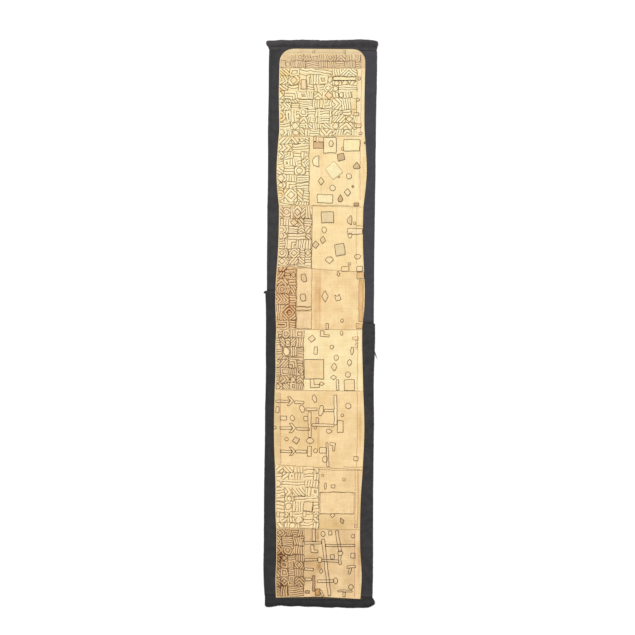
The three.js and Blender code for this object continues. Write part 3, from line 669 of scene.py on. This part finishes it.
def block_lines(form, box, pitch):
    """The lines that fill a block. Between two stitched lines runs the middle of one strip."""
    left, bottom, right, top = box
    x, y = (left + right) / 2, (bottom + top) / 2
    width, height = right - left, top - bottom
    reach = width + height
    pitch *= needle.uniform(0.86, 1.16)
    for number in range(1, int(4 * reach / pitch)):
        offset = number * pitch / 2
        stitched = number % 2 == 0
        slant = offset * math.sqrt(2)
        if form == "across" and offset < height:
            yield drawn([(left - PAST, bottom + offset), (right + PAST, bottom + offset)]), stitched
        elif form == "upright" and offset < width:
            yield drawn([(left + offset, bottom - PAST), (left + offset, top + PAST)]), stitched
        elif form == "rising" and slant < reach:
            yield drawn([(left, top - slant), (left + reach, top - slant + reach)]), stitched
        elif form == "falling" and slant < reach:
            yield drawn([(left, bottom + slant), (left + reach, bottom + slant - reach)]), stitched
        elif form == "lozenge" and slant < reach / 2:
            yield drawn([(x - slant, y), (x, y + slant), (x + slant, y), (x, y - slant)], True), stitched
        elif form == "square" and offset < min(width, height) / 2:
            corners = [(left, bottom, 1, 1), (right, bottom, -1, 1), (right, top, -1, -1), (left, top, 1, -1)]
            yield drawn([(cx + sx * offset, cy + sy * offset) for cx, cy, sx, sy in corners], True), stitched
        elif form == "round" and offset < reach / 2.4:
            yield drawn(ring(x, y, offset, offset, 16), True), stitched
        elif form in ("ne", "nw", "se", "sw") and offset < min(width, height):
            side = 1 if form[1] == "w" else -1
            rise = 1 if form[0] == "s" else -1
            corner_x = (left if side > 0 else right) + side * offset
            corner_y = (bottom if rise > 0 else top) + rise * offset
            far_x, far_y = corner_x + side * width, corner_y + rise * height
            yield drawn([(corner_x, far_y), (corner_x, corner_y), (far_x, corner_y)]), stitched
        elif form in ("right", "left") and slant < width + height / 2:
            side = 1 if form == "right" else -1
            tip = (left if side > 0 else right) + side * slant
            back = tip - side * height / 2
            yield drawn([(back, top), (tip, y), (back, bottom)]), stitched
        elif form in ("up", "down") and slant < height + width / 2:
            side = 1 if form == "up" else -1
            tip = (bottom if side > 0 else top) + side * slant
            back = tip - side * width / 2
            yield drawn([(left, back), (x, tip), (right, back)]), stitched


def runs_in_block(places, box, field_top):
    """The stretches of a line that lie in a block, on its field and beside the single patches."""
    left, bottom, right, top = box
    run = []
    for x, y in places:
        in_sides = left < x < right and bottom < y < top
        on_field = height_at(field_top, x / 1000, y / 1000) is not None
        if in_sides and on_field and height_at(patch_tops, x / 1000, y / 1000) is None:
            run.append((x, y))
        elif run:
            yield run
            run = []
    yield run


FIELD_STRAY = 8.0
SHORT_STRAY = 1.6


def wandering(places, stray=3.4):
    """The same line as a hand makes it, never quite straight: it strays by up to these millimetres."""
    moved = []
    for x, y in places:
        far, near = (x / 44, y / 44), (x / 16, y / 16)
        off_x = stray * noise.noise((*far, 5.0)) + SHORT_STRAY * noise.noise((*near, 8.0))
        off_y = stray * noise.noise((*far, 15.0)) + SHORT_STRAY * noise.noise((*near, 18.0))
        moved.append((x + off_x, y + off_y))
    return moved


def leaning(places, middle, turn):
    """The same line turned a little about the middle of its block."""
    cosine, sine = math.cos(turn), math.sin(turn)
    offsets = [(x - middle[0], y - middle[1]) for x, y in places]
    return [(middle[0] + u * cosine - v * sine, middle[1] + u * sine + v * cosine) for u, v in offsets]


def measured(places, spacing):
    """Places this far apart along a line, each with the direction of the line there."""
    points = np.array(places)
    steps = np.hypot(*np.diff(points, axis=0).T)
    travelled = np.concatenate([[0], np.cumsum(steps)])
    count = int(travelled[-1] / spacing)
    if count < 1:
        return []
    at = (np.arange(count) + 0.5) * travelled[-1] / count
    xs = np.interp(at, travelled, points[:, 0])
    ys = np.interp(at, travelled, points[:, 1])
    segment = np.clip(np.searchsorted(travelled, at) - 1, 0, len(steps) - 1)
    forward_x, forward_y = (points[segment + 1] - points[segment]).T
    return list(zip(xs, ys, np.arctan2(forward_y, forward_x)))


STITCH = {"length": 4.5, "width": 2.1, "height": 1.0, "slant": math.radians(58), "sway": 0.22}
UNEVEN = (0.85, 1.15)  # the least and the most of its size that a stitch has
STITCH_SHAPE = [(-0.5, 0, 0.1), (0, -0.5, 0.3), (0, 0, 1), (0, 0.5, 0.3), (0.5, 0, 0.1), (0, 0, -0.1)]
STITCH_FACES = [(0, 1, 2), (0, 2, 3), (4, 2, 1), (4, 3, 2), (0, 5, 1), (0, 3, 5), (4, 1, 5), (4, 5, 3)]


def stitches(name, lines, tops, thread, spacing=3.0, size=1.0, slot_name="patchwork", stray=3.4):
    """One mesh of all the short slanting stitches along some lines, lying on the cloth under them."""
    vertices, faces = [], []
    for places in lines:
        if len(places) < 2:
            continue
        for x, y, direction in measured(wandering(places, stray), spacing):
            angle = direction + STITCH["slant"] + needle.uniform(-STITCH["sway"], STITCH["sway"])
            cosine, sine = math.cos(angle), math.sin(angle)
            long = size * STITCH["length"] * needle.uniform(*UNEVEN)
            wide = size * STITCH["width"] * needle.uniform(*UNEVEN)
            reach_x, reach_y = 0.35 * long * cosine, 0.35 * long * sine
            beds = [height_at(tops, (x + k * reach_x) / 1000, (y + k * reach_y) / 1000) for k in (-1, 0, 1)]
            bed = max((height for height in beds if height is not None), default=LOWEST_BED)
            first = len(vertices)
            for u, v, w in STITCH_SHAPE:
                along_it, across_it = u * long, v * wide
                place_x = x + along_it * cosine - across_it * sine
                place_y = y + along_it * sine + across_it * cosine
                vertices.append((place_x / 1000, place_y / 1000, bed + w * size * STITCH["height"] / 1000))
            faces += [tuple(first + index for index in face) for face in STITCH_FACES]
    piece = made_of(name, vertices, faces)
    for polygon in piece.data.polygons:
        polygon.use_smooth = True
    finish_piece(piece, thread, slot_name)
    return piece


STRIP_SECTION = [(-0.5, 0.1), (-0.3, 0.85), (0.3, 0.85), (0.5, 0.1)]
STRIP_STEP = 7


def strips(name, lines, tops, width, material):
    """One mesh of the narrow strips of cloth along some lines, with their edges turned under."""
    vertices, faces = [], []
    for places in lines:
        stations = measured(wandering(places, FIELD_STRAY), STRIP_STEP) if len(places) > 2 else []
        if len(stations) < 2:
            continue
        first = len(vertices)
        for x, y, direction in stations:
            bed = height_at(tops, x / 1000, y / 1000) or LOWEST_BED
            side_x, side_y = -math.sin(direction), math.cos(direction)
            for across_it, up in STRIP_SECTION:
                place_x, place_y = x + across_it * width * side_x, y + across_it * width * side_y
                vertices.append((place_x / 1000, place_y / 1000, bed + up / 1000))
        size = len(STRIP_SECTION)
        for station in range(len(stations) - 1):
            start = first + station * size
            for k in range(size):
                following = (k + 1) % size
                faces.append((start + k, start + size + k, start + size + following, start + following))
        faces.append([first + k for k in range(size)])
        faces.append([len(vertices) - 1 - k for k in range(size)])
    piece = made_of(name, vertices, faces)
    smooth_by_angle(piece, 50)
    finish_piece(piece, material, "patchwork")
    return piece


def dyed_thread(name, dark, light):
    """Raffia thread, dyed unevenly and worn, so that it goes from one colour to the other over the cloth."""
    material, tree, shader, place = new_material(name)
    worn = noise_over(tree, place, 9.0, 4.0, 0.7)
    fibre = noise_over(tree, place, 900.0, 2.0)
    both = calculate(tree, "MULTIPLY_ADD", fibre, 0.5, calculate(tree, "SUBTRACT", worn, 0.25))
    spread = add_node(tree, "ShaderNodeMapRange", {"Value": both, "From Min": 0.3, "From Max": 0.75})
    tree.links.new(between(tree, spread.outputs[0], dark, light), shader.inputs["Base Color"])
    emboss(tree, shader, fibre, 0.5, 0.0004)
    shader.inputs["Roughness"].default_value = 0.6
    return material


THREAD_TONES = {
    # darker sRGB and lighter sRGB
    "brown": ((54, 28, 8), (108, 66, 26)),
    "chestnut": ((98, 56, 12), (146, 96, 40)),
    "faint": ((112, 84, 72), (174, 144, 116)),
    "red": ((52, 24, 12), (108, 64, 38)),
    "olive": ((40, 28, 12), (88, 66, 36)),
    "dark": ((34, 18, 10), (80, 52, 30)),
    "pink": ((200, 128, 104), (224, 162, 130)),
    "sewing": ((150, 116, 78), (200, 166, 122)),
    "pale": ((196, 168, 120), (224, 198, 150)),
    "black": ((20, 20, 22), (66, 64, 66)),
}
THREADS = {colour: dyed_thread(colour + "_thread", *tones) for colour, tones in THREAD_TONES.items()}
LEAN = 0.13  # the lines of a block lean by this much at most, in radians
JUST_IN = 0.1  # a line along the edge of a block runs this far inside it, in millimetres
field_tops = top_of(field_pieces.values())
field_trim = {}
for field_name, groups in BANDS.items():
    clean, _, lit_strip_tone, thread_name, pitch = FIELDS[field_name]
    field_top = top_of([field_pieces[field_name]])
    stitched_lines, strip_lines = [], []
    for group_left, foot, bands in groups:
        for (top, blocks), bottom in zip(bands.items(), [*bands, foot][1:]):
            left = group_left
            for block in blocks.split(", "):
                form, right = block.split()
                right = int(right)
                box = (left, bottom, right, top)
                middle, lean = ((left + right) / 2, (bottom + top) / 2), needle.uniform(-LEAN, LEAN)
                plain_lines = block_lines(form, box, pitch)
                lines = [(leaning(places, middle, lean), stitched) for places, stitched in plain_lines]
                if form != "upright" or needle.random() < 0.5:
                    lines.append((drawn([(right - JUST_IN, bottom), (right - JUST_IN, top)]), True))
                if form != "across" or needle.random() < 0.5:
                    lines.append((drawn([(left, bottom + JUST_IN), (right, bottom + JUST_IN)]), True))
                for places, stitched in lines:
                    kept = stitched_lines if stitched else strip_lines
                    kept.extend(runs_in_block(places, box, field_top))
                left = right
    # The strips are coloured lighter than the ground: a painted highlight on their raised middles.
    strip_cloth = woven_cloth(field_name + "_strips", lit_strip_tone, clean, STAINS_AND_FOLD_SHADE.get(field_name, ()))
    field_trim[field_name] = [
        strips(field_name + "_strips", strip_lines, field_tops, 0.66 * pitch, strip_cloth),
        stitches(field_name + "_stitches", stitched_lines, field_tops, THREADS[thread_name], 2.2, 1.15,
                 "patchwork", FIELD_STRAY),
    ]

# Selvedge strip. A strip of yellower raffia cloth is sewn down the left edge of one length, and a line of
# pink thread holds its inner edge.
SELVEDGE = [(-296, -462), (-268, -460), (-266, -700), (-262, -940), (-292, -946), (-299, -850), (-301, -720),
            (-300, -584)]
THIN_LAYER = 0.0008
selvedge_outline = [(x / 1000, y / 1000) for x, y in SELVEDGE]
selvedge_strip = laid_cloth("selvedge_strip", [selvedge_outline], length_tops, THIN_LAYER)
cloth = woven_cloth("selvedge_weave", (237, 210, 156), (221, 192, 140), contrast=0.6)
finish_piece(selvedge_strip, cloth, "patchwork")
patch_pieces["selvedge_strip"] = selvedge_strip

# Small motifs. Beside the fields, little pieces of raffia cloth are cut to rings, lozenges, bars and bent
# shapes and sewn flat on the ground, each with a line of dark stitches along its edge.
SHAPES = {
    # corners of each shape, in halves of its width and of its height
    "rect": [(-1, -1), (1, -1), (1, 1), (-1, 1)],
    "lozenge": [(0, -1), (1, 0), (0, 1), (-1, 0)],
    "hexagon": [(-0.5, -1), (0.5, -1), (1, 0), (0.5, 1), (-0.5, 1), (-1, 0)],
    "round": [(-0.4, -1), (0.4, -1), (1, -0.4), (1, 0.4), (0.4, 1), (-0.4, 1), (-1, 0.4), (-1, -0.4)],
    "half": [(-0.6, -1), (0.8, -1), (1, 0), (0.8, 1), (-0.6, 1), (-1, 0.4), (-1, -0.4)],
    "drop": [(0, -1), (0.8, -0.5), (1, 0.1), (0, 1), (-1, 0.1), (-0.8, -0.5)],
    "arrow": [(-0.5, -1), (0.5, -1), (0.5, 0), (1, 0), (0, 1), (-1, 0), (-0.5, 0)],
    "ell": [(-1, -1), (1, -1), (1, -0.3), (-0.2, -0.3), (-0.2, 1), (-1, 1)],
    "chevron": [(-1, 1), (-0.2, 1), (1, 0), (-0.2, -1), (-1, -1), (0.1, 0)],
    "horned": [(-1, -1), (1, -1), (0.9, 0.5), (0.7, 1), (0.3, 0.5), (-0.3, 0.5), (-0.7, 1), (-0.9, 0.5)],
}
MOTIFS = {
    # shape, x, y, width and height in millimetres, and its turn in degrees where it has one
    1: {
        "pale": [
            ("rect", 234, 1402, 34, 20), ("rect", 243, 1325, 42, 26), ("round", 244, 1500, 20, 24),
            ("round", 262, 1273, 20, 20), ("rect", 250, 1642, 18, 20),
        ],
    },
    2: {
        "pale": [("rect", -44, 1236, 15, 32), ("hexagon", 66, 1204, 30, 38), ("round", 144, 1172, 16, 20)],
        "pink": [("rect", -2, 1231, 34, 28)],
        "faint": [("rect", 118, 982, 12, 14)],
        "brown": [("rect", 212, 916, 11, 12, 20), ("rect", 236, 798, 32, 22), ("rect", 292, 1210, 12, 12)],
    },
    3: {
        "pale": [
            ("round", 24, 626, 28, 38), ("hexagon", 194, 590, 28, 30), ("round", 246, 449, 38, 30),
            ("rect", 164, 366, 50, 30), ("rect", 262, 366, 38, 32),
        ],
        "faint": [("drop", 228, 672, 18, 24), ("rect", 192, 398, 16, 16)],
    },
    4: {
        "tan": [("half", -112, 303, 34, 52, 14), ("half", -116, 172, 38, 46, 8)],
        "ground": [
            ("rect", -112, 98, 104, 20), ("arrow", 118, 330, 26, 32, 190), ("horned", 115, 174, 36, 42, 15),
            ("hexagon", 144, 18, 22, 22), ("rect", 45, -20, 16, 40),
        ],
        "orange": [("rect", 268, 322, 46, 44), ("rect", 262, -18, 42, 34)],
    },
    5: {
        "pale": [
            ("ell", 30, -70, 60, 36, -4), ("half", 143, -66, 18, 26), ("hexagon", 214, -182, 22, 50, -8),
            ("rect", -30, -182, 20, 50), ("round", 78, -158, 22, 24), ("round", 108, -230, 30, 34),
            ("drop", 197, -262, 30, 46, 180), ("lozenge", 95, -292, 38, 54), ("round", 188, -342, 34, 36),
            ("lozenge", 90, -362, 38, 34), ("hexagon", -225, -190, 44, 52, 10),
            ("rect", 118, -412, 16, 70, 3), ("ell", -34, -402, 62, 56), ("drop", 12, -404, 24, 34, -90),
        ],
        "pink": [("rect", 236, -100, 38, 20), ("rect", 240, -150, 14, 26), ("rect", 242, -124, 9, 24)],
    },
    6: {
        "ground": [
            ("rect", -249, -523, 92, 15), ("chevron", -196, -522, 42, 60), ("rect", -138, -530, 62, 18, -3),
            ("rect", -227, -702, 78, 15), ("chevron", -182, -702, 44, 62), ("rect", -112, -708, 84, 17, -2),
            ("rect", -226, -858, 76, 15), ("chevron", -182, -858, 42, 58), ("rect", -122, -860, 70, 18),
            ("rect", -68, -858, 26, 64), ("hexagon", -118, -574, 34, 48, 10), ("rect", -56, -576, 74, 16),
            ("hexagon", 8, -584, 34, 68, -14), ("rect", 62, -583, 66, 15, 2),
            ("rect", 24, -682, 148, 17, -2), ("hexagon", -64, -786, 52, 34, 8), ("round", 190, -552, 36, 36),
            ("round", 152, -616, 17, 18), ("round", 62, -722, 36, 28), ("round", -26, -852, 26, 28),
            ("round", -222, -776, 22, 22), ("rect", 24, -850, 46, 36), ("half", -284, -578, 22, 40, 180),
            ("hexagon", -36, -504, 30, 48, 15), ("rect", -242, -636, 44, 26),
            ("drop", -182, -636, 30, 42, 10), ("half", -92, -638, 32, 28, 90),
            ("ell", 86, -826, 34, 54, 170), ("round", 38, -910, 36, 40), ("rect", 54, -880, 16, 160, 3),
            ("rect", 244, -905, 26, 28),
        ],
        "blush": [("rect", -16, -652, 18, 38), ("hexagon", -28, -700, 20, 20)],
        "tan": [("lozenge", -158, -784, 52, 50, 12), ("rect", -300, -700, 14, 18)],
    },
    7: {
        "faint": [("round", 22, -1018, 15, 15), ("half", 163, -1046, 22, 18)],
        "ground": [
            ("half", 40, -1090, 14, 38), ("rect", 92, -1090, 24, 22), ("drop", 90, -1286, 32, 24, 180),
            ("rect", -75, -1228, 60, 62, -6),
        ],
        "brown": [("lozenge", 152, -1322, 28, 46, 20)],
        "blush": [("round", 248, -1358, 18, 22)],
    },
    8: {
        "tan": [
            ("rect", -35, -1418, 20, 84), ("round", 27, -1412, 26, 36), ("rect", 76, -1402, 20, 28),
            ("rect", 130, -1458, 20, 144, 10), ("hexagon", 143, -1538, 36, 32),
            ("rect", 141, -1583, 18, 58, 3), ("rect", 76, -1590, 116, 15, -3), ("rect", 90, -1563, 24, 28),
            ("half", 228, -1425, 22, 20), ("rect", -40, -1470, 114, 15), ("rect", 143, -1487, 196, 14),
            ("ell", -30, -1510, 48, 50), ("hexagon", 6, -1584, 32, 34), ("rect", -54, -1584, 84, 16, 2),
            ("rect", 228, -1555, 28, 34), ("rect", -66, -1647, 58, 15, -5), ("drop", 15, -1660, 22, 34),
            ("rect", -70, -1715, 42, 18), ("rect", 44, -1726, 108, 17, 1), ("round", 113, -1724, 26, 40),
            ("round", 216, -1764, 32, 28), ("rect", 218, -1628, 56, 16, 2),
            ("rect", 208, -1656, 13, 40, -14), ("rect", 176, -1791, 96, 12), ("rect", 171, -1814, 15, 30),
            ("rect", 22, -1808, 12, 42, 28),
        ],
        "rose": [("rect", -34, -1742, 16, 104), ("rect", -75, -1800, 26, 18)],
        "ochre": [("rect", -7, -1800, 33, 44)],
    },
}
MOTIF_CLOTHS = {
    # clean sRGB, stained sRGB, thread of its edge
    "ground": ((250, 222, 172), (240, 208, 158), "chestnut"),
    "pale": ((254, 229, 178), (246, 216, 164), "chestnut"),
    "tan": ((240, 208, 158), (226, 190, 142), "dark"),
    "pink": ((252, 224, 176), (244, 210, 162), "pink"),
    "blush": ((242, 204, 162), (230, 188, 146), "red"),
    "rose": ((200, 154, 116), (182, 134, 98), "dark"),
    "ochre": ((208, 162, 102), (188, 142, 84), "dark"),
    "brown": ((214, 178, 130), (196, 160, 112), "dark"),
    "orange": ((236, 196, 138), (222, 178, 120), "red"),
    "faint": ((236, 204, 152), (222, 188, 138), "faint"),
}


def motif_outline(form, x, y, width, height, turn=0):
    """The corners of a motif, in millimetres, in its place on the cloth."""
    cosine, sine = math.cos(math.radians(turn)), math.sin(math.radians(turn))
    corners = []
    for u, v in SHAPES[form]:
        out_x, out_y = u * width / 2, v * height / 2
        corners.append((x + out_x * cosine - out_y * sine, y + out_x * sine + out_y * cosine))
    return corners


second_layer_tops = top_of([*raffia_lengths.values(), *field_pieces.values(), *patch_pieces.values()])
motif_tones = {}
for cloth_name, (clean, stained, _) in MOTIF_CLOTHS.items():
    motif_tones[cloth_name] = woven_cloth(cloth_name + "_motif_weave", clean, stained, contrast=0.6)
for number, cloths in MOTIFS.items():
    for cloth_name, motifs in cloths.items():
        cut = [motif_outline(*motif) for motif in motifs]
        sewn_edges.setdefault(MOTIF_CLOTHS[cloth_name][2], []).extend(cut)
        outlines = [[(u / 1000, v / 1000) for u, v in corners] for corners in cut]
        motif_name = f"{cloth_name}_motifs_{number}"
        motif = laid_cloth(motif_name, outlines, second_layer_tops, THIN_LAYER, rim=0.0012)
        finish_piece(motif, motif_tones[cloth_name], "patchwork")
        patch_pieces[motif_name] = motif

# Stitches along the edges of the patches and of the motifs, and the seams. The lengths of raffia are sewn
# to each other with paler thread. A few long lines of dark thread run down beside the right edge.
SEWN_LINES = {
    "brown": [
        [(240, 655), (290, 654)], [(25, -243), (-60, -241)], [(-60, 1832), (-60, 1808)],
        [(-50, 1832), (-50, 1808)], [(148, 1834), (148, 1802)], [(158, 1834), (158, 1802)],
        [(0, -1135), (120, -1127), (240, -1135)], [(0, -1278), (110, -1273), (232, -1277)],
    ],
    "sewing": [
        [(-60, 790), (190, 792)], [(-55, 784), (-60, 370)], [(250, -50), (252, -250), (250, -445)],
        [(160, -960), (290, -962)], [(0, -978), (140, -984), (290, -985)],
    ],
    "pale": [[(240, 780), (236, 560), (240, 395)]],
    "pink": [
        [(262, 1232), (258, 1020), (262, 830)], [(258, -985), (260, -1180), (256, -1370)],
        [(-265, -470), (-262, -700), (-258, -940)],
        [(250, -455), (254, -700), (248, -960)], [(238, -985), (240, -1180), (238, -1370)],
        [(240, -1385), (236, -1600), (240, -1830)], [(268, 1700), (264, 1480), (262, 1260)],
    ],
}
BOLD_THREADS = ("dark", "chestnut")
for left, middle, right in SEAM_HEIGHTS:
    SEWN_LINES["sewing"].append([(-275, left), (0, middle), (272, right)])
sewn_tops = top_of([*raffia_lengths.values(), *field_pieces.values(), *patch_pieces.values()])
for thread_name, thread in THREADS.items():
    lines = [drawn(corners, True) for corners in sewn_edges.get(thread_name, [])]
    lines += [drawn(corners) for corners in SEWN_LINES.get(thread_name, [])]
    if lines:
        size = 1.35 if thread_name in BOLD_THREADS else 1.1
        stitches(thread_name + "_edge_stitches", lines, sewn_tops, thread, 2.4, size)

# Stitches of the border. Fine raffia thread holds the edge of the raffia cloth on it. Black thread holds
# the turned hem down each side, and goes over and over round the fat roll at each end.
def lines_inside(node_names, inset):
    """Lines just inside the left and the right edge of some CAD sheets, in millimetres."""
    ends = []
    for node_name in node_names:
        sheet_mesh = nodes[node_name].data
        ends += [[sheet_mesh.vertices[k].co.xy[:] for k in edge.vertices] for edge in sheet_mesh.edges]
    ends = np.array(ends) * 1000
    low, high = ends[:, :, 1].min(axis=1), ends[:, :, 1].max(axis=1)
    left_line, right_line = [], []
    for y in np.arange(low.min() + inset, high.max() - inset, 6):
        (x0, y0), (x1, y1) = ends[(low < y) & (high > y)].transpose(1, 2, 0)
        crossings = x0 + (x1 - x0) * (y - y0) / (y1 - y0)
        left_line.append((crossings.min() + inset, y))
        right_line.append((crossings.max() - inset, y))
    return [left_line, right_line]


END_LINES = {
    # places along each line, in millimetres: across the raffia cloth's two ends, and along the two rolls
    "raffia": [[(-235, 1814), (0, 1815), (235, 1814)], [(-295, -1838), (0, -1843), (295, -1845)]],
    "rolls": [[(-345, 1854), (0, 1856), (362, 1854)], [(-345, -1856), (0, -1857), (355, -1860)]],
}
border_tops = top_of(border_pieces)
black = THREADS["black"]
raffia_lines = lines_inside(LENGTH_NAMES, 5) + [drawn(line) for line in END_LINES["raffia"]]
stitches("raffia_edge_stitches", raffia_lines, sewn_tops, THREADS["pale"], 5.0, 0.8, "raffia")
hem_lines = lines_inside([name for name in BORDER_CLOTHS if name not in ROLLED_STRIPS], 16)
hem_stitches = stitches("hem_stitches", hem_lines, border_tops, black, 7.0, 0.9, "black_cloth")
roll_lines = [drawn(line) for line in END_LINES["rolls"]]
roll_stitches = stitches("roll_stitches", roll_lines, border_tops, black, 8.0, 1.6, "black_cloth")

# Loose thread. Where the border's side hem has come undone, a tuft of black threads sticks out. Each is a
# thin curved tube, drawn as a line and given its thickness.
TUFTS = {
    # CAD node, root x and y, tip x and y in millimetres
    "thread_left": (-370.6, 208, -383.6, 202),
    "thread_right": (366.7, -196, 383.6, -239),
}
STRANDS = 20
BENDS = 7
frayed = random.Random(21)
for node_name, (root_x, root_y, tip_x, tip_y) in TUFTS.items():
    strands = []
    for number in range(STRANDS):
        spread = frayed.uniform(-1, 1)
        reach = frayed.uniform(0.45, 1)
        line = bpy.data.curves.new(f"{node_name}_strand", "CURVE")
        line.dimensions = "3D"
        line.bevel_depth = 0.001
        line.bevel_resolution = 1
        line.use_fill_caps = True
        spline = line.splines.new("POLY")
        spline.points.add(BENDS)
        for station, point in enumerate(spline.points):
            part = reach * station / BENDS
            off = spread * (8 - 6.5 * part) + 1.2 * math.sin(5 * part + 3 * spread) * part
            x = root_x + (tip_x - root_x) * part
            y = root_y + (tip_y - root_y) * part + off
            z = 1.1 + 0.09 * number + 0.3 * math.sin(4 * part)
            point.co = (x / 1000, y / 1000, z / 1000, 1)
            point.radius = 1 - 0.5 * part
        strands.append(in_scene(line.name, line))
    select_only(*strands)
    bpy.ops.object.convert(target="MESH")
    bpy.ops.object.join()
    tuft = bpy.context.object
    tuft.name = node_name + "_tuft"
    bpy.ops.object.shade_smooth()
    tuft.select_set(False)
    finish_piece(tuft, black, "black_cloth", node_name)

# Each piece of cloth is passed to lay, with the pieces sewn on it.
def lay(piece, with_pieces=()):
    """Takes a piece and the pieces sewn with it, and does nothing with them."""
    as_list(with_pieces)


for strip in border_pieces:
    lay(strip, [hem_stitches, roll_stitches] if strip is border_pieces[0] else ())
for number, length in raffia_lengths.items():
    motifs = [piece for name, piece in patch_pieces.items() if name.endswith(f"motifs_{number}")]
    lay(length, motifs)
for field_name, field in field_pieces.items():
    lay(field, field_trim[field_name])
for patch_name in PATCH_CLOTHS:
    lay(patch_pieces[patch_name])
lay(selvedge_strip)
